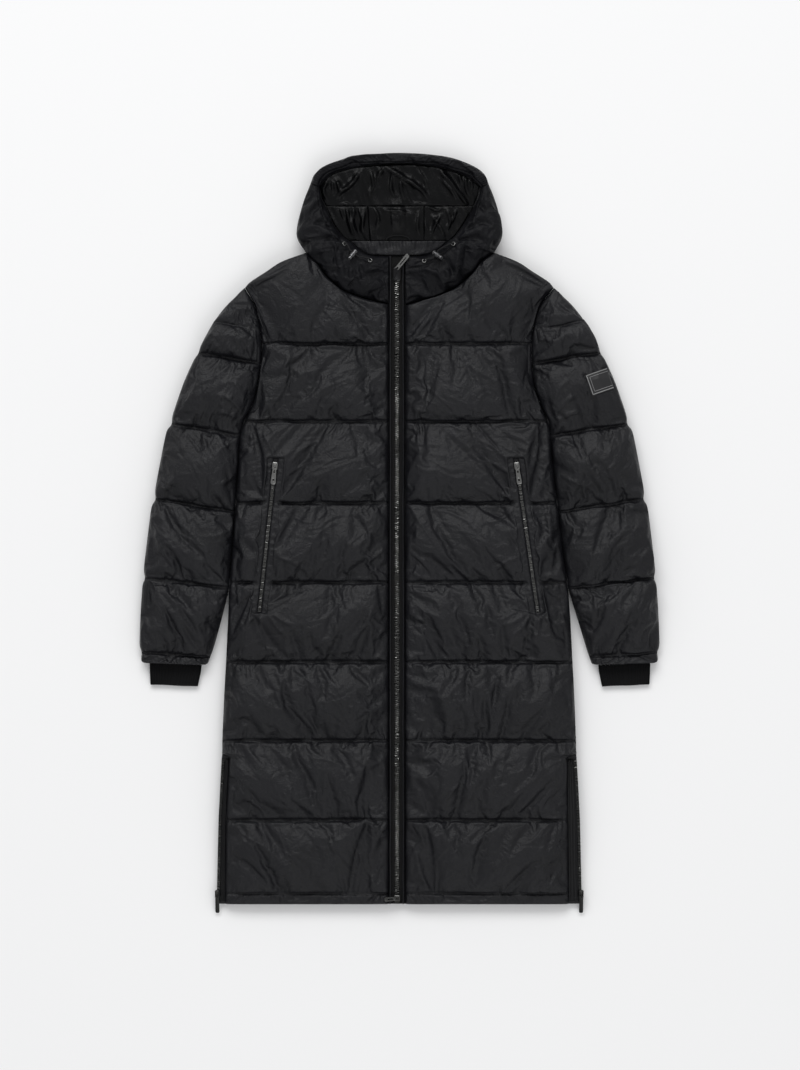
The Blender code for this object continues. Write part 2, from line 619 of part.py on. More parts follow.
def make_slider(name, place, size, ahead, swing, yaw=0.0, pitch=0.0, material="gunmetal"):
    """Slider body with rounded corners. The lug on top, which carries the pull, is round about
    the pull's axis: `ahead` of the slider's middle and turned by `swing` from its X."""
    width, length, height = size
    shape = bmesh.new()
    bmesh.ops.create_cube(shape, size=1.0)
    bmesh.ops.scale(shape, vec=(width, length, height), verts=shape.verts)
    bmesh.ops.translate(shape, vec=(0, 0, height / 2), verts=shape.verts)
    upright = [e for e in shape.edges if abs(e.verts[0].co.z - e.verts[1].co.z) > height / 2]
    bmesh.ops.bevel(shape, geom=upright, offset=width * SLIDER_CORNER, segments=2,
                    affect="EDGES", profile=0.5)
    top = [f for f in shape.faces if f.normal.z > 0.9]
    bmesh.ops.inset_region(shape, faces=top, thickness=width * SLIDER_SHOULDER, depth=0.0)
    rim = {v for f in shape.faces if f.normal.z > 0.9 for v in f.verts} - {v for v in top[0].verts}
    for vertex in rim:
        vertex.co.z -= height * SLIDER_DROP
    seat = bmesh.ops.extrude_face_region(shape, geom=top)["geom"]
    seat = [item for item in seat if isinstance(item, bmesh.types.BMVert)]
    bmesh.ops.delete(shape, geom=top, context="FACES_ONLY")
    quarter_turn = math.pi / 2
    turned = Matrix.Rotation(swing - round(swing / quarter_turn) * quarter_turn, 3, "Z")
    for vertex in seat:
        corner = Vector((math.copysign(LUG_SIDE / 2, vertex.co.x),
                         math.copysign(LUG_SIDE / 2, vertex.co.y), vertex.co.z))
        vertex.co = turned @ corner + Vector((0.0, ahead, 0.0))
    bmesh.ops.remove_doubles(shape, verts=seat, dist=1e-5)
    lug = [f for f in shape.faces if all(abs(v.co.x) <= LUG_SIDE and
                                         abs(v.co.y - ahead) <= LUG_SIDE for v in f.verts)]
    raised = bmesh.ops.extrude_face_region(shape, geom=lug)["geom"]
    raised = [item for item in raised if isinstance(item, bmesh.types.BMVert)]
    bmesh.ops.delete(shape, geom=[f for f in lug if f.is_valid], context="FACES_ONLY")
    bmesh.ops.translate(shape, vec=(0, 0, LUG_HEIGHT), verts=raised)
    axis = Vector((math.cos(swing), math.sin(swing), 0.0))
    ridge = [e for e in shape.edges if e.verts[0] in raised and e.verts[1] in raised
             and abs((e.verts[1].co - e.verts[0].co).normalized().dot(axis)) > 0.9]
    bmesh.ops.bevel(shape, geom=ridge, offset=LUG_SIDE / 2, segments=3, affect="EDGES",
                    profile=0.5, clamp_overlap=False)
    bmesh.ops.remove_doubles(shape, verts=shape.verts, dist=1e-5)
    item = finish_mesh(name, shape, material)
    item.location = place
    item.rotation_euler = (pitch, 0.0, yaw)
    return item


def make_pull(name, hinge, length, tip_width, yaw, tilt, material):
    """Flat pull with a fork round the lug; its origin is on the hinge, its length along +Y."""
    slot, tip, corner = FORK_SLOT / 2, tip_width / 2, length - TIP_CUT
    root = slot + FORK_CHEEK
    outline = [(-root, -PULL_HEEL), (-slot, -PULL_HEEL), (-slot, FORK_DEPTH), (slot, FORK_DEPTH),
               (slot, -PULL_HEEL), (root, -PULL_HEEL), (root, PULL_NECK), (tip, corner),
               (tip * TIP_SHARE, length), (-tip * TIP_SHARE, length), (-tip, corner), (-root, PULL_NECK)]
    curve = bpy.data.curves.new(name, "CURVE")
    curve.dimensions = "2D"
    curve.fill_mode = "BOTH"
    curve.extrude = PULL_THICK / 2
    spline = curve.splines.new("POLY")
    spline.points.add(len(outline) - 1)
    for target, (x, y) in zip(spline.points, outline):
        target.co = (x, y, 0.0, 1.0)
    spline.use_cyclic_u = True
    item = add_object(name, curve, material)
    item.location = hinge
    item.rotation_euler = (math.radians(tilt), 0.0, yaw)
    return item


def heading(dx, dy):
    """Turn about Z that points +Y along (dx, dy)."""
    return math.atan2(-dx, dy)


def hinge_above(place, size, yaw, pitch, along):
    """Point of the pull's axis, `along` the slider from its middle and above its top."""
    turn = Matrix.Rotation(yaw, 3, "Z") @ Matrix.Rotation(pitch, 3, "X")
    return Vector(place) + turn @ Vector((0.0, along, size[2] + HINGE_HEIGHT))


def make_main_zip():
    low_y = HEM_Y + GAP
    strip("main_zip_tape", zip_rows(*TAPE, low_y, TAPE_TOP_Y, GAP), TAPE_THICK, "tape_black")
    lift = 2 * GAP + TAPE_THICK
    for side in SIGN:
        edge = TAPE[0] if side == "right" else TAPE[1] - EDGING_WIDTH
        rows = zip_rows(edge, edge + EDGING_WIDTH, low_y, TAPE_TOP_Y - GAP, lift)
        strip(f"zip_edging_{side}", rows, EDGING_HEIGHT, CLOTH)
    half = CHAIN_WIDTH / 2
    strip("main_zip_chain", zip_rows(ZIP_X - half, ZIP_X + half, *CHAIN_Y, lift), CHAIN_HEIGHT,
          "teeth_dark")
    place = (ZIP_X, SLIDER_MID_Y, LAYER + lift)
    length, width, tilt, ahead = MAIN_PULL
    swing = heading(*MAIN_PULL_WAY)
    make_slider("main_zip_slider", place, MAIN_SLIDER, ahead, swing)
    hinge = hinge_above(place, MAIN_SLIDER, 0.0, 0.0, ahead)
    make_pull("main_zip_pull", hinge, length, width, swing, tilt, "nickel")
    slope = math.atan((LAYER - LAYER_EDGE) / (LAST_SEAM_Y - HEM_Y))
    place = (ZIP_X, LOWER_SLIDER_Y, layer_height(LOWER_SLIDER_Y) + lift + GAP)
    length, width, tilt, ahead = LOWER_PULL
    swing = heading(*LOWER_PULL_WAY)
    make_slider("main_zip_lower_slider", place, LOWER_SLIDER, ahead, swing, 0.0, slope)
    hinge = hinge_above(place, LOWER_SLIDER, 0.0, slope, ahead)
    make_pull("main_zip_lower_pull", hinge, length, width, swing, tilt, "nickel")
    rows = [(ZIP_X - BOX_HALF, ZIP_X + BOX_HALF, y, layer_height(y) + lift) for y in BOX_Y]
    strip("main_zip_box", rows, BOX_HEIGHT, "nickel")


def make_pocket_zip(side, plan, high):
    """Welt, chain, slider and pull along the pocket, laid on the front's own points."""
    lines = [(row[2], row[3], tops[2]) for row, tops in zip(plan, high) if on_pocket(row[2][1])]
    rows = [(min(a[0], b[0]), max(a[0], b[0]), a[1], z + GAP) for a, b, z in lines]
    strip(f"pocket_welt_{side}", rows, POCKET_TAPE, "tape_black")
    lift = POCKET_TAPE + 2 * GAP
    middle = [((a[0] + b[0]) / 2, a[1], z + lift) for a, b, z in lines]
    chain_top = POCKET_SLIDER_Y - POCKET_SLIDER[1] / 2 - 2 * GAP
    flat, half = middle[-1][2], POCKET_CHAIN_HALF
    middle = [point for point in middle if point[1] < chain_top]
    middle.append((pocket_x(side, chain_top), chain_top, flat))
    chain = [(x - half, x + half, y, z) for x, y, z in middle]
    strip(f"pocket_chain_{side}", chain, POCKET_CHAIN_HEIGHT, "teeth_dark")
    (y_a, x_a), (y_b, x_b) = POCKET_LINE[side]
    yaw = heading(x_a - x_b, y_a - y_b)
    place = (pocket_x(side, POCKET_SLIDER_Y), POCKET_SLIDER_Y, flat)
    length, width, tilt, ahead = POCKET_PULL
    make_slider(f"pocket_slider_{side}", place, POCKET_SLIDER, ahead, 0.0, yaw, 0.0, "nickel")
    hinge = hinge_above(place, POCKET_SLIDER, yaw, 0.0, ahead)
    make_pull(f"pocket_pull_{side}", hinge, length, width, yaw + math.pi, tilt, "nickel")


def make_vent_zip(side):
    sign, column = SIGN[side], COLUMN[side]
    low_y = HEM_Y + VENT_TAPE_UP
    heights = sorted({low_y, VENT_TOP_Y} | {r[0] for r in VENT_EDGE if low_y < r[0] < VENT_TOP_Y})
    tape, chain = [], []
    chain_low = HEM_Y + VENT_CHAIN_UP
    for y in heights:
        inner = table_value(BODY_EDGE, y, column) + sign * SEAM_GAP
        outer = table_value(VENT_EDGE, y, column)
        split = outer - sign * VENT_TAPE_IN
        tape.append((*sorted((inner, split)), y, layer_height(y) + GAP))
    strip(f"vent_tape_{side}", tape, TAPE_THICK, "tape_black")
    for y in sorted({chain_low, VENT_TOP_Y} | {h for h in heights if h > chain_low}):
        outer = table_value(VENT_EDGE, y, column)
        ends = sorted(outer - sign * inset for inset in VENT_CHAIN)
        chain.append((*ends, y, layer_height(y) + GAP))
    strip(f"vent_chain_{side}", chain, CHAIN_HEIGHT, "teeth_dark")
    slope = math.atan((LAYER - LAYER_EDGE) / (LAST_SEAM_Y - HEM_Y))
    y = HEM_Y + VENT_SLIDER_UP
    outer = table_value(VENT_EDGE, y, column)
    place = (outer - sign * VENT_SLIDER_IN, y, layer_height(y) + 2 * GAP)
    length, width, tilt, ahead = VENT_PULL
    make_slider(f"vent_slider_{side}", place, VENT_SLIDER, ahead, 0.0, 0.0, slope)
    hinge = hinge_above(place, VENT_SLIDER, 0.0, slope, ahead)
    make_pull(f"vent_pull_{side}", hinge, length, width, math.pi, tilt, "gunmetal")


# ---------------------------------------------------------------- drawcord and patch
EYELETS = {
    "right": ((-0.0935, 0.4905), (-0.0500, 0.4625)),
    "left": ((0.0915, 0.4900), (0.0420, 0.4615)),
}
LOCKS = {  # middle of the lock's body and the direction in which its button points
    "right": ((-0.0790, 0.4720), (-0.62, -0.78)),
    "left": ((0.0650, 0.4705), (0.79, -0.61)),
}
CORD_RADIUS = 0.00125
LOCK_RADIUS, LOCK_LENGTH = 0.0045, 0.0130
BUTTON_BORE = (0.0037, 0.0068)                 # radius and depth of the bore in the lock
BUTTON_OUT, BUTTON_STROKE = 0.0055, 0.0030     # how far the button stands out, and its travel
CORD_HOLE_BACK = 0.0020                        # the cord's way through, behind the lock's middle
EYELET_PROFILE = ((0.0040, 0.0), (0.0040, 0.0006), (0.0033, 0.0012), (0.0024, 0.0012),
                  (0.0021, 0.0006), (0.0021, 0.0))      # radius, height
LOCK_STEPS = (-0.0065, -0.0030, 0.0, 0.0040, 0.0080, 0.0125)   # along it, where the cloth is read
LOCK_ACROSS = (-0.0030, 0.0, 0.0030)           # and across it
LOCK_CLEAR = 0.0005                            # the lock above the cloth
EYELET_LIFT, EYELET_STEPS = 0.0006, 14
BARREL_SIDES, BUTTON_BEVEL = 12, 0.2
CORD_FOOT, CORD_RISE, CORD_CREST = 0.0003, 0.0034, 0.0062      # the cord above its eyelet
CORD_TURN = 0.4                                # share of its way where the crest is
CORD_STRAIGHT = 0.0040                         # its last stretch, straight into the lock
SKY = 0.5                                      # where the rays that read the cloth start


def surface_reader(item):
    """A function that gives the top of a finished piece, and its normal, at a place."""
    graph = bpy.context.evaluated_depsgraph_get()
    tree = BVHTree.FromObject(item, graph)

    def read(x, y):
        point, normal, _, _ = tree.ray_cast(Vector((x, y, SKY)), Vector((0, 0, -1)))
        return point, normal

    return read


def make_eyelet(name, read, place):
    """Turned ring, lying on the cloth along its normal."""
    point, normal = read(*place)
    shape = bmesh.new()
    loop = [shape.verts.new((x, 0.0, z)) for x, z in EYELET_PROFILE]
    edges = [shape.edges.new((a, b)) for a, b in zip(loop, loop[1:] + loop[:1])]
    bmesh.ops.spin(shape, geom=loop + edges, cent=(0, 0, 0), axis=(0, 0, 1),
                   angle=math.tau, steps=EYELET_STEPS, use_merge=True)
    bmesh.ops.remove_doubles(shape, verts=shape.verts, dist=1e-5)
    item = finish_mesh(name, shape, "nickel")
    item.rotation_euler = Vector((0, 0, 1)).rotation_difference(normal).to_euler()
    item.location = point + normal * EYELET_LIFT
    return item.location.copy(), normal


def make_barrel(name, radius, ends, bore, place, along, material):
    """Short cylinder between two heights of its own axis, its far end bored if `bore` is
    given as (radius, depth). It is turned so that its axis lies along `along`."""
    low, high = ends
    shape = bmesh.new()
    bmesh.ops.create_cone(shape, cap_ends=True, segments=BARREL_SIDES, radius1=radius, radius2=radius,
                          depth=high - low)
    bmesh.ops.translate(shape, vec=(0, 0, (high + low) / 2), verts=shape.verts)
    bmesh.ops.recalc_face_normals(shape, faces=shape.faces)
    cap = [f for f in shape.faces if f.normal.z > 0.9]
    if bore:
        bmesh.ops.inset_region(shape, faces=cap, thickness=radius - bore[0], depth=0.0)
        wall = bmesh.ops.extrude_face_region(shape, geom=cap)["geom"]
        wall = [item for item in wall if isinstance(item, bmesh.types.BMVert)]
        bmesh.ops.translate(shape, vec=(0, 0, -bore[1]), verts=wall)
        bmesh.ops.delete(shape, geom=[f for f in cap if f.is_valid], context="FACES_ONLY")
    else:
        bmesh.ops.bevel(shape, geom=cap[0].edges[:], offset=radius * BUTTON_BEVEL, segments=1,
                        affect="EDGES")
    item = finish_mesh(name, shape, material)
    item.rotation_euler = Vector((0, 0, 1)).rotation_difference(along).to_euler()
    item.location = place
    return item


def smooth_run(points, steps):
    """Catmull-Rom run through the given points."""
    points = [Vector(p) for p in points]
    padded = [2 * points[0] - points[1]] + points + [2 * points[-1] - points[-2]]
    run = []
    for a, b, c, d in zip(padded, padded[1:], padded[2:], padded[3:]):
        for step in range(steps):
            t = step / steps
            run.append(0.5 * ((2 * b) + (c - a) * t + (2 * a - 5 * b + 4 * c - d) * t ** 2
                              + (3 * b - 3 * c + d - a) * t ** 3))
    return run + [points[-1]]


def make_drawcord(side, hood):
    read = surface_reader(hood)
    ends = [make_eyelet(f"eyelet_{side}_{label}", read, place)
            for label, place in zip(("upper", "lower"), EYELETS[side])]
    (x, y), (dx, dy) = LOCKS[side]
    along = Vector((dx, dy, 0.0)).normalized()
    across = Vector((-along.y, along.x, 0.0))
    foot = [read(x + along.x * s, y + along.y * s)[0] for s in LOCK_STEPS]
    along = (foot[-1] - foot[0]).normalized()
    upward = across.cross(along)
    upward = upward if upward.z > 0 else -upward
    tops = [read(x + along.x * s + across.x * t, y + along.y * s + across.y * t)[0]
            for s in LOCK_STEPS for t in LOCK_ACROSS]
    seat = Vector((x, y, foot[2].z))
    rise = max((top - seat).dot(upward) for top in tops)
    middle = seat + upward * (rise + LOCK_RADIUS + LOCK_CLEAR)
    end = LOCK_LENGTH / 2
    make_barrel(f"cord_lock_{side}", LOCK_RADIUS, (-end, end), BUTTON_BORE, middle, along,
                "lock_plastic")
    make_barrel(f"lock_button_{side}", BUTTON_BORE[0] - GAP,
                (end - BUTTON_BORE[1] + BUTTON_STROKE + GAP, end + BUTTON_OUT), None, middle,
                along, "lock_plastic")
    for (start, normal), label in zip(ends, ("upper", "lower")):
        facing = across if (start - middle).dot(across) > 0 else -across
        entry = middle + facing * (LOCK_RADIUS + GAP) - along * CORD_HOLE_BACK
        before = entry + facing * CORD_STRAIGHT
        route = [start + normal * CORD_FOOT, start + normal * CORD_RISE,
                 (start + normal * CORD_CREST).lerp(before, CORD_TURN), before, entry]
        tube(f"drawcord_{side}_{label}", smooth_run(route, 3), CORD_RADIUS, "elastic_black")


def make_patch(sleeve):
    """Moulded badge, bare, laid on the sleeve's top."""
    read = surface_reader(sleeve)
    rows, columns = PATCH_GRID
    plan, low = [], []
    for row in range(rows):
        a = mix(PATCH[1], PATCH[0], row / (rows - 1))
        b = mix(PATCH[2], PATCH[3], row / (rows - 1))
        line = [mix(a, b, column / (columns - 1)) for column in range(columns)]
        plan.append(line)
        low.append([read(*point)[0].z + PATCH_CLEAR for point in line])
    high = [[z + PATCH_THICK for z in heights] for heights in low]
    padded_layer("sleeve_patch", plan, low, high, "patch_rubber")


# ---------------------------------------------------------------- the coat
def main():
    make_back()
    for side in SIGN:
        plan, high = make_front(side)
        make_pocket_zip(side, plan, high)
        make_vent_zip(side)
        make_cuff(side)
    make_sleeve("right")
    make_patch(make_sleeve("left"))
    make_hood_back()
    make_brim()
    make_lining()
    make_hanger_loop()
    for side in SIGN:
        make_drawcord(side, make_hood_side(side))
    make_main_zip()


main()
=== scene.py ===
"""Looks of a long hooded puffer coat, closed and laid flat on its back.

Metres, +Z up, hood towards +Y. "right" and "left" are the wearer's, so right is towards -X.
Padded panels are cut larger than the space they are sewn into, pinned along their seams and
blown up with Cloth pressure, which gives them their puckers. Lining, zips and badge follow.
"""
import json
import math

import bmesh
import bpy
import numpy as np
from bpy.props import FloatProperty, FloatVectorProperty, IntProperty, PointerProperty
from mathutils import Euler, Matrix, Vector
from mathutils.bvhtree import BVHTree


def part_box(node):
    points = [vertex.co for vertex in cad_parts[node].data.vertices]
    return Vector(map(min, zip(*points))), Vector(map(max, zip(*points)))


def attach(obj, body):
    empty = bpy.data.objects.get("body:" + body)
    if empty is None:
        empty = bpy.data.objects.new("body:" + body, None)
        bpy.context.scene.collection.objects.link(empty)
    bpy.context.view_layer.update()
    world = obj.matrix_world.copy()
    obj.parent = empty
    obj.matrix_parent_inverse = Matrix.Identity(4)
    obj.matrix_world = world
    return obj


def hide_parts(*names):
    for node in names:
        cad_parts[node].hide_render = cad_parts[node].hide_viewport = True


bl_info = {
    "name": "Long puffer coat",
    "version": (1, 0, 0),
    "blender": (4, 5, 0),
    "location": "3D View > Sidebar > Coat",
    "description": "Builds the padded panels, lining, zips, cords and badge of a long puffer coat",
    "category": "Object",
}

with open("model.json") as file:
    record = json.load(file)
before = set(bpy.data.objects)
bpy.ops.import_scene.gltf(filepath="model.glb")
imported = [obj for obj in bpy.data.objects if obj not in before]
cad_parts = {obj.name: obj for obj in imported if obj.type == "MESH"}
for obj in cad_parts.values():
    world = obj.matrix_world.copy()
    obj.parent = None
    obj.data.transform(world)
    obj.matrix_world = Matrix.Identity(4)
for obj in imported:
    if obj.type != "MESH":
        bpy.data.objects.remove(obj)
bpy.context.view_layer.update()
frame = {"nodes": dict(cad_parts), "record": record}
SLOTS = {s["node"]: s["material_slot"] for s in frame["record"]["subparts"]}
SIDES = {"right": -1.0, "left": 1.0}
COLUMN = {"right": 1, "left": 2}

# ---------------------------------------------------------------- sizes shared with the solids
GAP, SEAM_GAP = 0.0003, 0.0004
LAYER, LAYER_EDGE = 0.022, 0.009
RIM, SEAM_LIFT, PUFF, HEM_PUFF = 0.004, 0.005, 0.020, 0.15
EDGE_ROUND, ZIP_ROUND, UNDER_ROUND = 0.048, 0.030, 0.022
HEM_Y, HEM_STITCH_Y, LAST_SEAM_Y = -0.6307, -0.6129, -0.487
QUILT_SEAMS = (HEM_Y, HEM_STITCH_Y, LAST_SEAM_Y, -0.3519, -0.2184, -0.0833, 0.0519, 0.1904,
               0.3221)
TOP_SEAM_Y = QUILT_SEAMS[-1]
BODY_EDGE = (
    (-0.6307, -0.2966, 0.2881), (-0.6129, -0.2966, 0.2881), (-0.5499, -0.2958, 0.2873),
    (-0.4870, -0.2949, 0.2864), (-0.4190, -0.2915, 0.2856), (-0.3799, -0.2892, 0.2856),
    (-0.3749, -0.3012, 0.3004), (-0.3519, -0.3012, 0.3000), (-0.2848, -0.2984, 0.2975),
    (-0.2184, -0.2949, 0.2941),
    (-0.1505, -0.2915, 0.2907), (-0.0833, -0.2893, 0.2859), (-0.0161, -0.2841, 0.2763),
    (0.0519, -0.2787, 0.2688), (0.1215, -0.2750, 0.2604), (0.1742, -0.2706, 0.2568),
    (0.1904, -0.2643, 0.2535), (0.2218, -0.2490, 0.2388), (0.2541, -0.2397, 0.2286),
    (0.2881, -0.2354, 0.2252), (0.3221, -0.2337, 0.2244), (0.3459, -0.2363, 0.2269),
    (0.3833, -0.2440, 0.2363), (0.4173, -0.2626, 0.2618),
)
VENT_EDGE = (
    (-0.6307, -0.3120, 0.3120), (-0.6129, -0.3111, 0.3102), (-0.5499, -0.3094, 0.3085),
    (-0.4870, -0.3077, 0.3068), (-0.4190, -0.3043, 0.3034), (-0.3799, -0.3021, 0.3009),
)
SHOULDER = {
    "right": ((-0.2626, 0.4173), (-0.2525, 0.4276), (-0.2262, 0.4446), (-0.1998, 0.4616)),
    "left": ((0.2618, 0.4173), (0.2525, 0.4276), (0.2262, 0.4446), (0.1998, 0.4616)),
}
NECK_SEAM = {
    "right": ((-0.1589, 0.4768), (-0.1402, 0.4598), (-0.1249, 0.4377), (-0.0960, 0.4131),
              (-0.0586, 0.3987), (-0.0189, 0.3891)),
    "left": ((0.1606, 0.4768), (0.1385, 0.4615), (0.1215, 0.4394), (0.0918, 0.4156),
             (0.0536, 0.4003), (0.0104, 0.3879)),
}
ZIP_EDGE = {"right": -0.0189, "left": 0.0104}
SLEEVE_OUTER = (         # as on the right; the inner ones start with the armhole's eight
    (-0.2762, 0.4046), (-0.2959, 0.3851), (-0.3165, 0.3579), (-0.3320, 0.3306),
    (-0.3439, 0.3068), (-0.3635, 0.2643), (-0.3754, 0.2320), (-0.3845, 0.2048),
    (-0.3896, 0.1861), (-0.3966, 0.1709), (-0.4060, 0.1249), (-0.4145, 0.0790),
    (-0.4170, 0.0586), (-0.4221, 0.0416), (-0.4284, -0.0076), (-0.4340, -0.0552),
    (-0.4349, -0.0756), (-0.4374, -0.0926), (-0.4408, -0.1436), (-0.4425, -0.1878),
    (-0.4412, -0.2023), (-0.4397, -0.2201),
)
SLEEVE_INNER = {
    "right": (
        (-0.2714, 0.1657), (-0.2728, 0.1487), (-0.2762, 0.1011), (-0.2787, 0.0552),
        (-0.2800, 0.0365), (-0.2815, 0.0178), (-0.2850, -0.0263), (-0.2887, -0.0740),
        (-0.2900, -0.0926), (-0.2934, -0.1096), (-0.3040, -0.1505), (-0.3155, -0.1912),
        (-0.3222, -0.2099), (-0.3272, -0.2235),
    ),
    "left": (
        (0.2575, 0.1657), (0.2586, 0.1487), (0.2630, 0.1011), (0.2685, 0.0552),
        (0.2706, 0.0365), (0.2727, 0.0178), (0.2779, -0.0263), (0.2848, -0.0740),
        (0.2869, -0.0926), (0.2914, -0.1096), (0.3045, -0.1505), (0.3170, -0.1912),
        (0.3232, -0.2099), (0.3280, -0.2235),
    ),
}
SLEEVE_SEAMS = (2.0, 4.0, 8.0, 12.0, 16.0, 20.0)     # as row numbers; the first is a short one
SLEEVE_FLAT_FROM, SLEEVE_FLAT_TO = -0.084, -0.222
HEM_CORNER = 0.0060
HOOD_SIDE = {
    "right": (
        (-0.1360, 0.5873, -0.1513, 0.5941, 0.010), (-0.1318, 0.5686, -0.1615, 0.5686, 0.015),
        (-0.1215, 0.5465, -0.1691, 0.5432, 0.019), (-0.1113, 0.5244, -0.1742, 0.5193, 0.022),
        (-0.0960, 0.5057, -0.1734, 0.5006, 0.023), (-0.0824, 0.4955, -0.1589, 0.4768, 0.022),
        (-0.0706, 0.4853, -0.1402, 0.4598, 0.020), (-0.0569, 0.4751, -0.1249, 0.4377, 0.018),
        (-0.0399, 0.4717, -0.0960, 0.4131, 0.018), (-0.0297, 0.4717, -0.0586, 0.3987, 0.015),
        (-0.0189, 0.4717, -0.0189, 0.3891, 0.005),
    ),
    "left": (
        (0.1385, 0.5873, 0.1513, 0.5941, 0.010), (0.1334, 0.5686, 0.1615, 0.5686, 0.015),
        (0.1215, 0.5465, 0.1691, 0.5432, 0.019), (0.1079, 0.5244, 0.1742, 0.5193, 0.022),
        (0.0926, 0.5040, 0.1734, 0.5006, 0.023), (0.0808, 0.4955, 0.1606, 0.4768, 0.022),
        (0.0688, 0.4853, 0.1385, 0.4615, 0.020), (0.0519, 0.4751, 0.1215, 0.4394, 0.018),
        (0.0348, 0.4717, 0.0918, 0.4156, 0.018), (0.0229, 0.4717, 0.0536, 0.4003, 0.015),
        (0.0104, 0.4717, 0.0104, 0.3879, 0.005),
    ),
}
HOOD_BRIM = (
    (-0.1505, 0.5979, -0.1368, 0.5894), (-0.1436, 0.6111, -0.1283, 0.5992),
    (-0.1249, 0.6247, -0.1113, 0.6129), (-0.0892, 0.6383, -0.0740, 0.6230),
    (-0.0450, 0.6446, -0.0331, 0.6273), (0.0008, 0.6468, 0.0008, 0.6290),
    (0.0467, 0.6446, 0.0348, 0.6273), (0.0892, 0.6383, 0.0740, 0.6213),
    (0.1249, 0.6247, 0.1096, 0.6094), (0.1436, 0.6111, 0.1283, 0.5975),
    (0.1505, 0.5979, 0.1385, 0.5894),
)
BRIM_ENDS = ((-0.1513, 0.5946, -0.1362, 0.5878), (0.1513, 0.5946, 0.1383, 0.5878))
HOOD_BACK = (
    (0.4772, -0.1580, 0.1598), (0.5006, -0.1709, 0.1717), (0.5193, -0.1717, 0.1717),
    (0.5432, -0.1666, 0.1666), (0.5686, -0.1589, 0.1589), (0.5941, -0.1487, 0.1487),
    (0.6111, -0.1402, 0.1402), (0.6247, -0.1215, 0.1215), (0.6383, -0.0858, 0.0858),
    (0.6443, -0.0450, 0.0467),
)
LINING_THICK, LINING_CLEAR = 0.004, 0.0009
LINING_SIDES = ((0.5571, 0.1251), (0.5686, 0.1309), (0.5865, 0.1351))
LINING_ARCH = (0.992, 0.0008)
LINING_ROWS = (
    (0.5563, -0.1260, -0.0541, 0.0416, 0.1266), (0.5465, -0.1215, -0.0534, 0.0416, 0.1215),
    (0.5244, -0.1113, -0.0519, 0.0416, 0.1079), (0.5057, -0.0960, -0.0508, 0.0416, 0.0940),
    (0.4977, -0.0853, -0.0503, 0.0416, 0.0836),
)
NECK_BAND = (
    (0.4723, -0.0410, 0.0360), (0.4751, -0.0555, 0.0505), (0.4853, -0.0697, 0.0679),
    (0.4955, -0.0815, 0.0799), (0.4972, -0.0834, 0.0816),
)
POCKET_LINE = {"right": ((0.1215, -0.2103), (-0.1283, -0.2371)),
               "left": ((0.1215, 0.1980), (-0.1283, 0.2337))}
POCKET_TOP_Y, POCKET_END_Y, POCKET_HALF = 0.1260, -0.1330, 0.011
POCKET_LIFT, POCKET_SWELL = 0.007, 0.005
CUFF_ROWS = ((-0.4257, -0.3376), (-0.4252, -0.3390), (-0.4246, -0.3418), (-0.4240, -0.3443))
CUFF_SHIFT = {"right": 0.0, "left": 0.0015}
CUFF_TOP_Y, CUFF_END_Y = (-0.2213, -0.2246), (-0.2570, -0.2602)
CUFF_HEIGHT, CUFF_WALL = 0.0085, 0.0028

# Shear of each channel, from the hem up, between how it was cut and how it lies. It draws the
# cloth into slanting folds: a positive one makes them rise towards +X.
CHANNEL_SHEAR = {
    "right": (0.0, -0.030, -0.034, -0.026, 0.010, 0.016, 0.030, 0.034),
    "left": (0.0, 0.030, 0.034, 0.014, -0.012, -0.026, -0.034, -0.030),
    "back": (0.0, 0.022, -0.026, 0.018, -0.018, 0.026, -0.022, 0.018),
}
WRINKLE_PITCH, WRINKLE_HEIGHT = 0.026, 0.0008        # shallow wrinkles of the outer cloth
CREASE_HEIGHT, HOOD_CREASE_HEIGHT = 0.0013, 0.0010
EDGE_HEIGHT, LEAST_HEIGHT, RIM_ROUND = 0.0012, 0.0008, 0.008    # of a panel's edge, and anywhere
SWELL_POWER, UNEVEN = 0.45, 0.6            # fullness of a channel; how much a panel's ease varies
FRONT_WIDTH, BACK_HALF, SLEEVE_WIDTH, FAN_LENGTH = 0.285, 0.30, 0.165, 0.125   # for the grids

# ---------------------------------------------------------------- settings
class CoatCloth(bpy.types.PropertyGroup):
    pressure: FloatProperty(name="Filling", description="Pressure of the filling", default=4.0)
    ease: FloatProperty(name="Ease", description="Extra cloth in a panel, as a share",
                        default=0.016)
    seam_ease: FloatProperty(name="Seam ease", description="Further extra cloth beside a seam",
                             default=0.030)
    grid: FloatProperty(name="Grid", description="Mesh size of the sewn cloth", default=0.0038,
                        unit="LENGTH")
    steps: IntProperty(name="Steps", description="Steps that the cloth is settled for",
                       default=24)
    gather: IntProperty(name="Gathering", description="Steps in which the seams are drawn in",
                        default=8)
    reach: FloatProperty(name="Reach", description="Furthest that settling may move a point",
                         default=0.014, unit="LENGTH")


def tint(name, description, default):
    return FloatVectorProperty(name=name, description=description, subtype="COLOR",
                               default=default)


class CoatColours(bpy.types.PropertyGroup):
    nylon: tint("Nylon", "Outer cloth", (0.0052, 0.0053, 0.0068))
    lining: tint("Lining", "Hood lining", (0.0015, 0.0016, 0.0019))
    rib: tint("Rib", "Knitted cuffs", (0.0054, 0.0054, 0.0058))
    tape: tint("Tape", "Zip tapes and loop", (0.0062, 0.0062, 0.0064))
    metal: tint("Pulls", "Pulls and eyelets", (0.17, 0.17, 0.166))
    teeth: tint("Teeth", "Zip teeth", (0.15, 0.15, 0.145))
    worn_metal: tint("Lower sliders", "Sliders at the hem", (0.030, 0.030, 0.029))
    dark_metal: tint("Main slider", "Main zip's upper slider", (0.020, 0.020, 0.021))


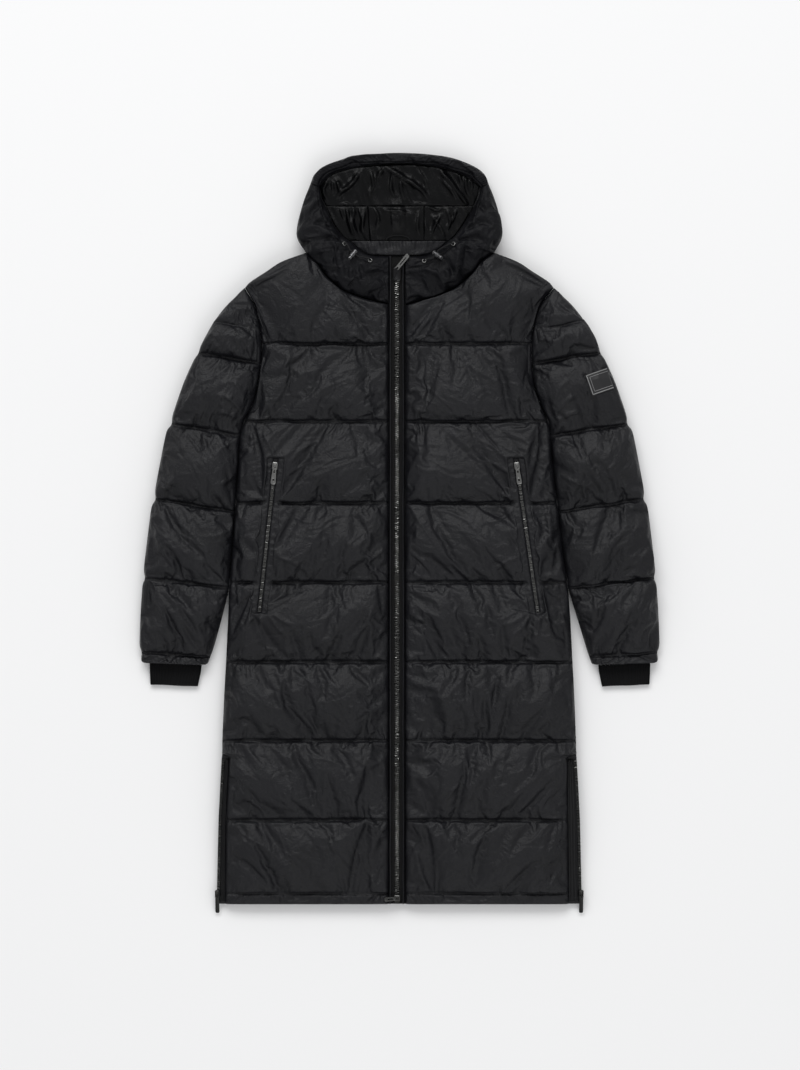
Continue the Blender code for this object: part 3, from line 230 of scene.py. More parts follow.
class CoatStage(bpy.types.PropertyGroup):
    view_height: FloatProperty(name="View", description="Height that the view takes in",
                               default=1.819, unit="LENGTH")
    distance: FloatProperty(name="Distance", description="Height of the camera", default=6.0,
                            unit="LENGTH")
    floor: tint("Floor", "Floor colour", (0.86, 0.86, 0.86))


def settings():
    return bpy.context.scene.coat_cloth


# ---------------------------------------------------------------- lines and grids
def curve_at(points, places, corners=()):
    """Catmull-Rom line through `points`, read at the given point numbers. It may turn sharply
    at the points numbered in `corners`."""
    points = np.asarray(points, float)
    out = np.empty((len(places), points.shape[1]))
    stops = [0, *corners, len(points) - 1]
    for low, high in zip(stops, stops[1:]):
        part = points[low:high + 1]
        part = np.vstack([2 * part[0] - part[1], part, 2 * part[-1] - part[-2]])
        chosen = (places >= low) & (places <= high)
        step = np.clip(np.floor(places[chosen] - low), 0, high - low - 1).astype(int)
        t = (places[chosen] - low - step)[:, None]
        a, b, c, d = (part[step + k] for k in range(4))
        out[chosen] = 0.5 * (2 * b + (c - a) * t + (2 * a - 5 * b + 4 * c - d) * t ** 2
                             + (3 * b - 3 * c + d - a) * t ** 3)
    return out


def smooth_line(points, per_step=12):
    count = (len(points) - 1) * per_step + 1
    return curve_at(points, np.linspace(0, len(points) - 1, count))


def along(line, shares):
    """Points at the given shares of a line's length."""
    steps = np.r_[0.0, np.cumsum(np.linalg.norm(np.diff(line, axis=0), axis=1))]
    return np.stack([np.interp(shares, steps / steps[-1], line[:, k])
                     for k in range(line.shape[1])], 1)


def sheet_between(start, end, u):
    """Places at the shares u of the way from each point of one line to that of another."""
    return start[:, None] * (1 - u[None, :, None]) + end[:, None] * u[None, :, None]


def places_across(rows, u):
    """x and y of a grid of places, from rows of (y, first x, last x)."""
    x = rows[:, 1:2] + (rows[:, 2:3] - rows[:, 1:2]) * u
    return x, rows[:, :1] + 0 * x


def crown(distance, width):
    share = np.clip(distance / width, 0.0, 1.0)
    return np.sqrt(1.0 - (1.0 - share) ** 2)


def layer_height(y):
    share = np.clip((LAST_SEAM_Y - y) / (LAST_SEAM_Y - HEM_Y), 0.0, 1.0)
    return LAYER + share * (LAYER_EDGE - LAYER)


def layer_slope(y, step=0.001):
    return float(layer_height(y + step) - layer_height(y - step)) / (2 * step)


def sleeve_layer(y):
    share = np.clip((SLEEVE_FLAT_FROM - y) / (SLEEVE_FLAT_FROM - SLEEVE_FLAT_TO), 0.0, 1.0)
    return LAYER + share * (LAYER_EDGE - LAYER)


def bump(distance, width):
    return np.exp(-(distance / width) ** 2)


def ripple(x, y, seed, scale):
    """Soft uneven field between about -1 and 1, the same each run."""
    rng = np.random.default_rng(seed)
    field = np.zeros(np.broadcast(x, y).shape)
    for _ in range(7):
        angle, phase = rng.uniform(0, math.tau, 2)
        pitch = scale * rng.uniform(0.7, 1.6)
        field += np.sin((x * math.cos(angle) + y * math.sin(angle)) * math.tau / pitch + phase)
    return field / 7 ** 0.5 / 1.2


def wrinkles(x, y, seed):
    """Height of shallow wrinkles, with a valley wherever a bent soft field changes sign."""
    bend = 0.4 * WRINKLE_PITCH
    field = ripple(x + bend * ripple(x, y, seed + 1, 2 * WRINKLE_PITCH),
                   y + bend * ripple(x, y, seed + 2, 2 * WRINKLE_PITCH), seed, WRINKLE_PITCH)
    return WRINKLE_HEIGHT * (abs(field) - 0.45)


def armhole(side):
    return [(row[COLUMN[side]], row[0]) for row in BODY_EDGE[-8:]]


def edge_table(side, rows):
    """Heights and x of one side's edge, from rows of (y, right x, left x)."""
    return np.array([(row[0], row[COLUMN[side]]) for row in rows])


def edge_x(side, y):
    """x of the body's side edge at heights y."""
    table = edge_table(side, BODY_EDGE[:-7])
    arm = smooth_line(armhole(side))
    return np.where(y <= table[-1, 0], np.interp(y, table[:, 0], table[:, 1]),
                    np.interp(y, arm[:, 1], arm[:, 0]))


def seamed_rows(seams, pitch, least=4):
    """Row places with a row on each seam, and the row numbers of the seams."""
    rows, marks = [seams[0]], [0]
    for low, high in zip(seams, seams[1:]):
        count = max(least, round(abs(high - low) / pitch))
        rows.extend(np.linspace(low, high, count + 1)[1:])
        marks.append(len(rows) - 1)
    return np.array(rows), marks


def swell_between(rows, seams):
    """0 on each seam and 1 half-way to the next."""
    out = np.zeros(len(rows))
    for low, high in zip(seams, seams[1:]):
        inside = (rows >= low) & (rows <= high)
        share = (rows[inside] - low) / (high - low)
        out[inside] = np.clip(4 * share * (1 - share), 0, 1) ** SWELL_POWER
    return out


def body_swell(rows, marks, v):
    """Swelling of the body's rows between its seams, and at v of its fan above the top one."""
    swell = np.r_[swell_between(rows, QUILT_SEAMS), (4 * v[:, 0] * (1 - v[:, 0])) ** SWELL_POWER]
    swell[:marks[1]] *= HEM_PUFF
    return swell


def channel_shear(name, marks, count):
    """The shear of each row, from that of the channel it lies in."""
    shear = np.zeros(count)
    for channel, amount in enumerate(CHANNEL_SHEAR[name]):
        shear[marks[channel] + 1:marks[channel + 1] + 1] = amount
    return shear


def refine(grid):
    """The grid with a point added between each two, on a smooth line through its neighbours."""
    for axis in (0, 1):
        g = np.moveaxis(grid, axis, 0)
        ends = np.concatenate([2 * g[:1] - g[1:2], g, 2 * g[-1:] - g[-2:-1]])
        between = (9 * (ends[1:-2] + ends[2:-1]) - ends[:-3] - ends[3:]) / 16
        out = np.empty((2 * len(g) - 1, *g.shape[1:]))
        out[0::2], out[1::2] = g, between
        grid = np.moveaxis(out, 0, axis)
    return grid


# ---------------------------------------------------------------- sewing and settling
def add_object(name, data):
    item = bpy.data.objects.new(name, data)
    bpy.context.scene.collection.objects.link(item)
    return item


def grid_faces(rows, columns):
    index = np.arange(rows * columns).reshape(rows, columns)
    return np.stack([index[:-1, :-1], index[:-1, 1:], index[1:, 1:], index[1:, :-1]],
                    -1).reshape(-1, 4)


class Panel:
    """A sheet of cloth on a grid: how it lies, how it was cut, and where it is sewn down."""

    def __init__(self, name, lies, pressure=1.0, stiffness=1.3):
        self.name, self.lies, self.cut = name, lies, lies.copy()
        self.pressure, self.stiffness = pressure, stiffness
        self.sewn = np.zeros(lies.shape[:2], bool)
        self.sewn[[0, -1], :] = self.sewn[:, [0, -1]] = True

    def ease(self, wide, long=0.0, shear=0.0):
        """Cuts the panel larger than it lies, outwards from its middle: by shares across and
        along, and sheared by so much for each step along."""
        lies, middle = self.lies, [n // 2 for n in self.lies.shape[:2]]
        across = np.diff(lies, axis=1) * (wide + 0 * lies[..., 0])[:, 1:, None]
        across = np.concatenate([0 * lies[:, :1], np.cumsum(across, 1)], 1)
        along = np.diff(lies, axis=0) * (long + 0 * lies[..., 0])[1:, :, None]
        along = np.concatenate([0 * lies[:1], np.cumsum(along, 0)], 0)
        across -= across[:, middle[1]][:, None]
        along -= along[middle[0]][None]
        self.cut = lies + across + along
        self.cut[..., 2] = lies[..., 2]
        steps = np.r_[0, np.diff(lies[:, 0, 1])]
        self.cut[..., 0] -= np.cumsum(shear * steps)[:, None]

    def crumple(self, seed, scale, amount):
        x, y = self.lies[..., 0], self.lies[..., 1]
        self.cut[..., 0] += amount * ripple(x, y, seed, scale)
        self.cut[..., 1] += amount * ripple(x, y, seed + 1, scale)


def settle(panels):
    """Draws the seams of all the panels in from the cut to where they lie, with the filling's
    pressure on, and puts each panel's settled points in panel.lies."""
    use = settings()
    scene = bpy.context.scene
    items = []
    for panel in panels:
        rows, columns = panel.lies.shape[:2]
        data = bpy.data.meshes.new(panel.name + "_cloth")
        faces = grid_faces(rows, columns)
        corner = panel.lies[:2, :2]
        if np.cross(corner[0, 1] - corner[0, 0], corner[1, 0] - corner[0, 0])[2] < 0:
            faces = faces[:, ::-1]          # the filling presses towards the faces' front
        data.from_pydata(panel.cut.reshape(-1, 3).tolist(), [], faces.tolist())
        item = add_object(data.name, data)
        item.shape_key_add(name="cut")
        lies = item.shape_key_add(name="lies")
        lies.data.foreach_set("co", panel.lies.astype(np.float32).ravel())
        for value, step in ((0.0, 1), (1.0, 1 + use.gather)):
            lies.value = value
            lies.keyframe_insert("value", frame=step)
        group = item.vertex_groups.new(name="sewn")
        group.add(np.flatnonzero(panel.sewn.ravel()).tolist(), 1.0, "REPLACE")
        cloth = item.modifiers.new("cloth", "CLOTH")
        put = cloth.settings
        put.quality, put.mass = 6, 0.1
        put.tension_stiffness = put.compression_stiffness = 15
        put.shear_stiffness, put.bending_stiffness = 6, panel.stiffness
        put.use_pressure, put.uniform_pressure_force = True, use.pressure * panel.pressure
        put.vertex_group_mass = "sewn"
        put.effector_weights.gravity = 0.0
        cloth.collision_settings.use_collision = False
        cloth.collision_settings.use_self_collision = False
        cloth.point_cache.frame_start, cloth.point_cache.frame_end = 1, use.steps
        items.append(item)
    for step in range(1, use.steps + 1):
        scene.frame_set(step)
    graph = bpy.context.evaluated_depsgraph_get()
    for panel, item in zip(panels, items):
        points = np.empty(panel.lies.size, np.float32)
        item.evaluated_get(graph).data.vertices.foreach_get("co", points)
        move = points.reshape(panel.lies.shape).astype(float) - panel.lies
        if not np.isfinite(move).all() or abs(move[panel.sewn]).max() > 1e-4:
            raise RuntimeError(f"{panel.name} did not settle on its seams")
        size = np.linalg.norm(move, axis=2, keepdims=True)
        panel.lies = panel.lies + move / (1 + (size / use.reach) ** 4) ** 0.25
    for item in items:
        data, action = item.data, item.data.shape_keys.animation_data.action
        bpy.data.objects.remove(item, do_unlink=True)
        bpy.data.meshes.remove(data)
        bpy.data.actions.remove(action)
    scene.frame_set(1)


# ---------------------------------------------------------------- pieces
def finish_piece(item, material, body, nodes=()):
    if not item.data.materials:
        item.data.materials.append(MATERIALS[material])
    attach(item, body)
    if nodes:
        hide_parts(*nodes)
    return item


def piece_from(name, points, faces, material, nodes=()):
    """One closed piece from plain points and faces, with its faces turned outwards."""
    data = bpy.data.meshes.new(name)
    data.from_pydata(np.asarray(points).tolist(), [], [list(map(int, f)) for f in faces])
    shape = bmesh.new()
    shape.from_mesh(data)
    bmesh.ops.triangulate(shape, faces=[f for f in shape.faces if len(f.verts) > 4],
                          ngon_method="EAR_CLIP")
    bmesh.ops.recalc_face_normals(shape, faces=shape.faces)
    for face in shape.faces:
        face.smooth = len(face.verts) == 4
    shape.to_mesh(data)
    shape.free()
    return finish_piece(add_object(name, data), material, "coat", nodes)


def border(rows, columns):
    index = np.arange(rows * columns).reshape(rows, columns)
    return np.r_[index[0, :-1], index[:-1, -1], index[-1, :0:-1], index[:0:-1, 0]]


def closed_panel(name, sheet, floor, material, node):
    """A sheet with a short wall down to the plane it is sewn to, and a flat hidden side."""
    rows, columns = sheet.shape[:2]
    points = sheet.reshape(-1, 3)
    ring = border(rows, columns)
    wall = points[ring].copy()
    wall[:, 2] = floor.reshape(-1)[ring]
    count, turn = len(points), len(ring)
    faces = grid_faces(rows, columns).tolist()
    for i in range(turn):
        j = (i + 1) % turn
        faces.append([ring[i], ring[j], count + j, count + i])
    faces.append([count + i for i in range(turn)])
    return piece_from(name, np.vstack([points, wall]), faces, material, (node,))


def padded_panel(name, sheet, floor, material, node):
    item = closed_panel(name, sheet, floor, material, node)


def top_of(name):
    """A function that gives the height of a solid's or a finished piece's top at a place."""
    item = frame["nodes"].get(name) or bpy.data.objects[name]
    shape = BVHTree.FromPolygons([v.co for v in item.data.vertices],
                                 [tuple(f.vertices) for f in item.data.polygons])

    def read(x, y):
        return shape.ray_cast(Vector((x, y, 0.5)), Vector((0, 0, -1)))[0].z

    return read


def press_under(sheet, nodes, clear=0.0006, slope=0.9):
    """Lowers the cloth under hard parts that lie on it, with a soft dent around them."""
    points = np.array([v.co for node in nodes for v in frame["nodes"][node].data.vertices])
    near = sheet.reshape(-1, 3)
    low, high = points.min(0)[:2] - 0.03, points.max(0)[:2] + 0.03
    inside = np.flatnonzero(((near[:, :2] > low) & (near[:, :2] < high)).all(1))
    for i in inside:
        gap = np.hypot(*(points[:, :2] - near[i, :2]).T)
        roof = points[:, 2] - clear + slope * np.maximum(0, gap - 0.001)
        near[i, 2] = min(near[i, 2], roof.min())
    return near.reshape(sheet.shape)


def folds(x, y, table):
    """Height of folds, each given as width, height and the points it runs through. A fold is
    steeper on its low side and dies away towards its end."""
    out = np.zeros(np.broadcast(x, y).shape)
    for width, height, *line in table:
        line = smooth_line(line, 4) if len(line) > 2 else np.array(line)
        best, way, side = (np.full(out.shape, value) for value in (np.inf, 0.0, 0.0))
        for number, ((x_a, y_a), (x_b, y_b)) in enumerate(zip(line, line[1:])):
            dx, dy = x_b - x_a, y_b - y_a
            share = np.clip(((x - x_a) * dx + (y - y_a) * dy) / (dx * dx + dy * dy), 0, 1)
            off_x, off_y = x - x_a - share * dx, y - y_a - share * dy
            gap = np.hypot(off_x, off_y)
            near = gap < best
            best = np.where(near, gap, best)
            way = np.where(near, (number + share) / (len(line) - 1), way)
            side = np.where(near, np.sign(off_y + 0.3 * off_x), side)
        end = np.clip((1 - way) / 0.45, 0, 1) * np.clip(0.35 + way / 0.2, 0, 1)
        out += height * bump(best, width * np.where(side > 0, 1.35, 0.75)) * end
    return out


def creases(x, y, seed, centres, spread, angle, count, height):
    """Scattered short creases about a slant, for a run of cloth between two seams."""
    rng = np.random.default_rng(seed)
    out = np.zeros(x.shape)
    for _ in range(count):
        at = [c + r * rng.uniform(-1, 1) for c, r in zip(centres, spread)]
        turn = angle + rng.normal(0, 0.30)
        along_x, along_y = math.cos(turn), math.sin(turn)
        half, width = rng.uniform(0.010, 0.040), rng.uniform(0.0014, 0.0030)
        bend = rng.uniform(-6, 6)
        u = (x - at[0]) * along_x + (y - at[1]) * along_y
        v = (y - at[1]) * along_x - (x - at[0]) * along_y - bend * u * u
        size = height * rng.uniform(0.4, 1.0) * rng.choice((-1.0, 1.0, 1.0))
        out += size * bump(v, width) * bump(u, half)
    return out


# ---------------------------------------------------------------- drawcords
CORD_ROUTE = {
    "right": (
        (-0.09309, 0.49083, 0.04699), (-0.09271, 0.49140, 0.04784), (-0.09233, 0.49198, 0.04869),
        (-0.09167, 0.49197, 0.04950), (-0.09054, 0.49112, 0.05032), (-0.08914, 0.48970, 0.05108),
        (-0.08773, 0.48787, 0.05159), (-0.08637, 0.48538, 0.05167), (-0.08501, 0.48249, 0.05149),
        (-0.08374, 0.48018, 0.05133), (-0.08264, 0.47896, 0.05131), (-0.08061, 0.47769, 0.05133),
        (-0.07686, 0.47470, 0.05133), (-0.07310, 0.47171, 0.05133), (-0.07170, 0.47001, 0.05144),
        (-0.06997, 0.46922, 0.05133), (-0.06632, 0.46856, 0.05103), (-0.06163, 0.46796, 0.05057),
        (-0.05745, 0.46727, 0.04990), (-0.05414, 0.46638, 0.04891), (-0.05134, 0.46540, 0.04770),
        (-0.04947, 0.46454, 0.04657), (-0.04899, 0.46393, 0.04564), (-0.04943, 0.46345, 0.04479),
        (-0.04988, 0.46296, 0.04394),
    ),
    "left": (
        (0.09110, 0.49034, 0.04704), (0.09097, 0.49091, 0.04796), (0.09083, 0.49149, 0.04887),
        (0.08974, 0.49150, 0.04957), (0.08719, 0.49071, 0.05003), (0.08368, 0.48936, 0.05027),
        (0.07983, 0.48762, 0.05016), (0.07532, 0.48526, 0.04944), (0.07047, 0.48251, 0.04838),
        (0.06680, 0.48023, 0.04760), (0.06520, 0.47886, 0.04741), (0.06435, 0.47706, 0.04760),
        (0.06142, 0.47326, 0.04760), (0.05848, 0.46947, 0.04760), (0.05737, 0.46720, 0.04754),
        (0.05604, 0.46630, 0.04760), (0.05329, 0.46582, 0.04792), (0.04977, 0.46558, 0.04834),
        (0.04667, 0.46523, 0.04845), (0.04429, 0.46463, 0.04807), (0.04233, 0.46392, 0.04738),
        (0.04108, 0.46328, 0.04660), (0.04085, 0.46278, 0.04577), (0.04132, 0.46234, 0.04484),
        (0.04179, 0.46190, 0.04392),
    ),
}
CORD_RADIUS = 0.00125


def ring_faces(rings, sides):
    """Faces between so many rings of points, each ring with so many sides."""
    return [(i * sides + j, i * sides + (j + 1) % sides, (i + 1) * sides + (j + 1) % sides,
             (i + 1) * sides + j) for i in range(rings - 1) for j in range(sides)]


def round_tube(name, line, radius, material, sides=12, nodes=()):
    """Cord or wire along a line of points, as a mesh with rounded ends."""
    line = np.asarray(line, float)
    ahead = np.gradient(line, axis=0)
    ahead /= np.linalg.norm(ahead, axis=1, keepdims=True)
    side = np.cross(ahead[0], (0.31, 0.17, 0.93))
    rings = []
    for point, way in zip(line, ahead):
        side = side - way * side.dot(way)
        side /= np.linalg.norm(side)
        up = np.cross(way, side)
        turn = np.arange(sides) * math.tau / sides
        rings.append(point + radius * (np.cos(turn)[:, None] * side + np.sin(turn)[:, None] * up))
    points = np.vstack([*rings, line[:1] - ahead[:1] * radius * 0.5,
                        line[-1:] + ahead[-1:] * radius * 0.5])
    count = len(line)
    faces = ring_faces(count, sides)
    for j in range(sides):
        k = (j + 1) % sides
        faces.append((k, j, count * sides))
        faces.append(((count - 1) * sides + j, (count - 1) * sides + k, count * sides + 1))
    return piece_from(name, points, faces, material, nodes)


class COAT_OT_drawcords(bpy.types.Operator):
    """Makes the hood's two drawcord loops, each from its upper eyelet through its lock"""
    bl_idname = "coat.drawcords"
    bl_label = "Drawcords"

    def execute(self, context):
        for side in SIDES:
            line = smooth_line(CORD_ROUTE[side], 4)
            nodes = [f"drawcord_{side}_{end}" for end in ("upper", "lower")]
            cord = round_tube(f"drawcord_{side}", line, CORD_RADIUS, "elastic_black", nodes=nodes)
        return {"FINISHED"}


# ---------------------------------------------------------------- the padded panels
def pocket_x(side, y):
    (y_a, x_a), (y_b, x_b) = POCKET_LINE[side]
    return x_a + (x_b - x_a) * (np.clip(y, POCKET_END_Y, POCKET_TOP_Y) - y_a) / (y_b - y_a)


POCKET_CELLS = 3


def front_panel(side):
    use = settings()
    rows, marks = seamed_rows(QUILT_SEAMS, use.grid)
    columns = round(FRONT_WIDTH / use.grid) + 1
    pocket = round(0.225 * (columns - 1))
    edge = edge_x(side, rows)
    edge = edge - SIDES[side] * 0.0018 * sum(bump(rows - s, 0.007) for s in QUILT_SEAMS[2:])
    width = abs(ZIP_EDGE[side] - edge)
    middle = abs(pocket_x(side, rows) - edge) / width
    half = POCKET_HALF / width
    shares = np.array([np.interp(np.arange(columns),
                                 (0, pocket - POCKET_CELLS, pocket + POCKET_CELLS, columns - 1),
                                 (0, m - h, m + h, 1)) for m, h in zip(middle, half)])
    lower = np.stack([edge[:, None] + (ZIP_EDGE[side] - edge[:, None]) * shares,
                      np.broadcast_to(rows[:, None], shares.shape)], -1)
    shoulder = smooth_line(list(SHOULDER[side]) + [NECK_SEAM[side][0]])
    u = shares[-1]
    top = along(np.vstack([shoulder, smooth_line(NECK_SEAM[side])[1:]]), u)
    top[:, 1] -= SEAM_GAP
    v = np.linspace(0, 1, round(FAN_LENGTH / use.grid) + 1)[1:, None]
    arm_y = TOP_SEAM_Y + v * (BODY_EDGE[-1][0] - TOP_SEAM_Y)
    arm = np.concatenate([edge_x(side, arm_y), arm_y], 1)
    fan = lower[-1][None] * (1 - v[..., None]) + top[None] * v[..., None]
    fan = fan + (arm - fan[:, 0])[:, None] * ((1 - u) ** 2)[None, :, None]
    plan = np.concatenate([lower, fan])
    swell = body_swell(rows, marks, v)
    floor = layer_height(plan[..., 1]) + GAP
    to_side = np.linalg.norm(plan - plan[:, :1], axis=2)
    to_zip = np.linalg.norm(plan - plan[:, -1:], axis=2)
    rise = np.minimum(crown(to_side, EDGE_ROUND), 0.15 + 0.85 * crown(to_zip, ZIP_ROUND))
    rim = EDGE_HEIGHT + (RIM - EDGE_HEIGHT) * np.minimum(crown(to_side, RIM_ROUND),
                                                         0.4 + crown(to_zip, RIM_ROUND))
    z = floor + rim + rise * (SEAM_LIFT + (PUFF - 0.004) * swell[:, None])
    x, y = plan[..., 0], plan[..., 1]
    in_pocket = (y <= POCKET_TOP_Y) & (y >= POCKET_END_Y)
    in_pocket[:, :pocket - POCKET_CELLS] = in_pocket[:, pocket + POCKET_CELLS + 1:] = False
    welt = floor + RIM + POCKET_LIFT + POCKET_SWELL * np.minimum(1, swell[:, None] / 0.9)
    z = np.where(in_pocket, welt - 0.0006, z)
    panel = Panel(f"front_{side}_quilting", np.dstack([x, y, z]))
    panel.sewn |= in_pocket
    for mark in marks[1:]:
        panel.sewn[mark] = True
    near = sum(bump(y - s, 0.013) for s in QUILT_SEAMS[1:]) + 0.8 * bump(to_zip, 0.02)
    beside = bump(abs(x - pocket_x(side, y)), 0.03)
    beside = beside * (y < POCKET_TOP_Y + 0.02) * (y > POCKET_END_Y - 0.02)
    seed = 11 if side == "right" else 111
    uneven = 1 + UNEVEN * ripple(x, y, seed, 0.11)
    long = 0.010 + 0.02 * bump(to_zip, 0.03) + 0.02 * beside
    panel.ease((use.ease + use.seam_ease * near + 0.015 * beside) * uneven, long,
               channel_shear(side, marks, len(plan)))
    panel.crumple(seed + 1, 0.05, 0.0012)
    return panel, marks


POCKET_FOLDS = (          # from the two ends of a pocket, as on the wearer's left
    (0.0035, 0.0030, (0.215, -0.137), (0.190, -0.152), (0.160, -0.158)),
    (0.0030, 0.0026, (0.222, -0.139), (0.205, -0.163), (0.180, -0.183)),
    (0.0030, 0.0026, (0.244, -0.140), (0.262, -0.158), (0.272, -0.176)),
    (0.0030, 0.0024, (0.236, -0.142), (0.234, -0.166), (0.226, -0.190)),
    (0.0035, 0.0026, (0.186, 0.120), (0.160, 0.146), (0.130, 0.160)),
    (0.0030, 0.0024, (0.188, 0.100), (0.158, 0.118), (0.128, 0.124)),
    (0.0030, 0.0024, (0.210, 0.128), (0.222, 0.152), (0.236, 0.176)),
    (0.0030, 0.0022, (0.196, 0.040), (0.166, 0.022), (0.138, 0.016)),
    (0.0030, 0.0022, (0.205, -0.040), (0.176, -0.052), (0.150, -0.070)),
)


def finish_front(side, panel, marks):
    sheet = refine(panel.lies)
    sign = SIDES[side]
    x, y = sheet[..., 0].copy(), sheet[..., 1].copy()
    seed = 201 if side == "right" else 301
    lines = [*QUILT_SEAMS, 0.44]
    extra = folds(sign * x, y, POCKET_FOLDS)
    for channel, slant in enumerate((*CHANNEL_SHEAR[side], 0.012 * sign)[1:], 1):
        low, high = lines[channel], lines[channel + 1]
        angle = (0.62 if slant > 0 else math.pi - 0.62) + 0.12 * sign
        extra += creases(x, y, seed + channel, (sign * 0.15, (low + high) / 2),
                         (0.14, 0.42 * (high - low)), angle, 46, CREASE_HEIGHT)
    free = 1 - np.repeat(np.repeat(panel.sewn, 2, 0)[:-1], 2, 1)[:, :-1]
    ends = np.minimum(1, np.minimum(abs(x - x[:, :1]), abs(x - x[:, -1:])) / 0.012)
    away = 1 - bump(abs(x - pocket_x(side, y)), 0.02)
    sheet[..., 2] += (extra + away * wrinkles(x, y, seed + 20)) * free * ends
    for mark in marks[1:]:
        line = sheet[2 * mark, :, 1]
        sheet[..., 2] -= 0.0038 * bump(y - line[None], 0.0018)
    floor = layer_height(sheet[..., 1]) + GAP
    sheet[..., 2] = np.maximum(sheet[..., 2], floor + LEAST_HEIGHT)
    padded_panel(panel.name, sheet, floor, "nylon_black", f"front_{side}")


def sleeve_panel(side, under=False):
    use = settings()
    pitch = use.grid * (1.4 if under else 1.0)
    places = [0.0]
    sign, hole = SIDES[side], armhole(side)[::-1]
    outer_table = [(-sign * x, y) for x, y in SLEEVE_OUTER]
    inner_table = [(x + sign * SEAM_GAP, y) for x, y in hole] + list(SLEEVE_INNER[side])
    for i in range(len(SLEEVE_OUTER) - 1):
        length = math.dist(outer_table[i], outer_table[i + 1])
        count = max(2, round(length / pitch)) + 4 * (i == len(SLEEVE_OUTER) - 2)
        places.extend(np.linspace(i, i + 1, count + 1)[1:])
    places = np.array(places)
    outer, inner = curve_at(outer_table, places), curve_at(inner_table, places, (7,))
    far = np.r_[0, np.cumsum(np.linalg.norm(np.diff(outer, axis=0), axis=1))]
    round_off = 1 - crown(far[-1] - far, HEM_CORNER)
    step_in = HEM_CORNER * 0.8 * round_off[:, None] * (inner - outer)
    step_in /= np.linalg.norm(inner - outer, axis=1)[:, None] + 1e-9
    outer, inner = outer + step_in, inner - step_in
    seams = np.interp(SLEEVE_SEAMS, places, far)
    notch = sum(bump(far - s, 0.008) for s in seams[1:])[:, None]
    outwards = (outer - inner) / np.linalg.norm(outer - inner, axis=1)[:, None]
    outer = outer - outwards * 0.0022 * notch
    u = np.linspace(0, 1, round(SLEEVE_WIDTH / pitch) + 1)
    plan = sheet_between(outer, inner, u)
    swell = swell_between(far, np.r_[-0.01, seams, far[-1] + 0.02])
    swell = np.maximum(swell, 0.30 * bump(far - seams[0], 0.02))
    swell[places > 20] *= 0.5
    width = np.linalg.norm(outer - inner, axis=1)[:, None]
    ends = np.minimum(u, 1 - u)[None] * width
    scale = np.minimum(1, width / (2 * EDGE_ROUND))
    middle = 0.5 * (outer[:, 1] + inner[:, 1])
    base = sleeve_layer(middle)[:, None]
    reach = np.minimum(EDGE_ROUND, 0.5 * width)
    x, y = plan[..., 0], plan[..., 1]
    if under:
        rise = crown(ends, UNDER_ROUND) * (0.80 + 0.26 * swell[:, None])
        z = base * rise + 0.0010
    else:
        z = base + GAP + EDGE_HEIGHT + (RIM - EDGE_HEIGHT) * crown(ends, RIM_ROUND)
        z = z + scale * crown(ends, reach) * (SEAM_LIFT + (PUFF - 0.003) * swell[:, None])
    name = f"sleeve_{'under' if under else 'top'}_{side}"
    panel = Panel(name + "_quilting", np.dstack([x, y, z]), 0.8 if under else 1.0)
    marks = [int(np.argmin(np.abs(far - s))) for s in seams]
    for mark in marks[1:]:
        panel.sewn[mark] = True
    half = len(u) // 2
    panel.sewn[marks[0], half:] = True
    panel.sewn[width[:, 0] < 0.045] = True
    near = sum(bump(far - s, 0.013) for s in seams)[:, None]
    seed = 31 + 2 * (side == "left") + under
    uneven = 1 + UNEVEN * ripple(x, y, seed, 0.09)
    slant = np.interp(places, (0, 4, 8, 12, 16, 21), (0.0, -0.02, -0.035, 0.03, 0.035, 0.02))
    panel.ease((1.5 * use.ease + use.seam_ease * near) * uneven, 0.022, SIDES[side] * slant)
    panel.crumple(seed + 10, 0.05, 0.0014)
    return panel, marks, base + 0 * x


ARM_FOLDS = (             # from the armpit, as on the wearer's left
    (0.0040, 0.0032, (0.262, 0.200), (0.286, 0.226), (0.310, 0.236)),
    (0.0035, 0.0030, (0.262, 0.186), (0.290, 0.202), (0.320, 0.205)),
    (0.0035, 0.0026, (0.258, 0.214), (0.272, 0.246), (0.292, 0.262)),
    (0.0035, 0.0026, (0.266, 0.160), (0.292, 0.150), (0.316, 0.132)),
    (0.0032, 0.0024, (0.270, 0.100), (0.296, 0.086), (0.326, 0.078)),
    (0.0032, 0.0024, (0.276, 0.010), (0.306, -0.004), (0.338, -0.006)),
)


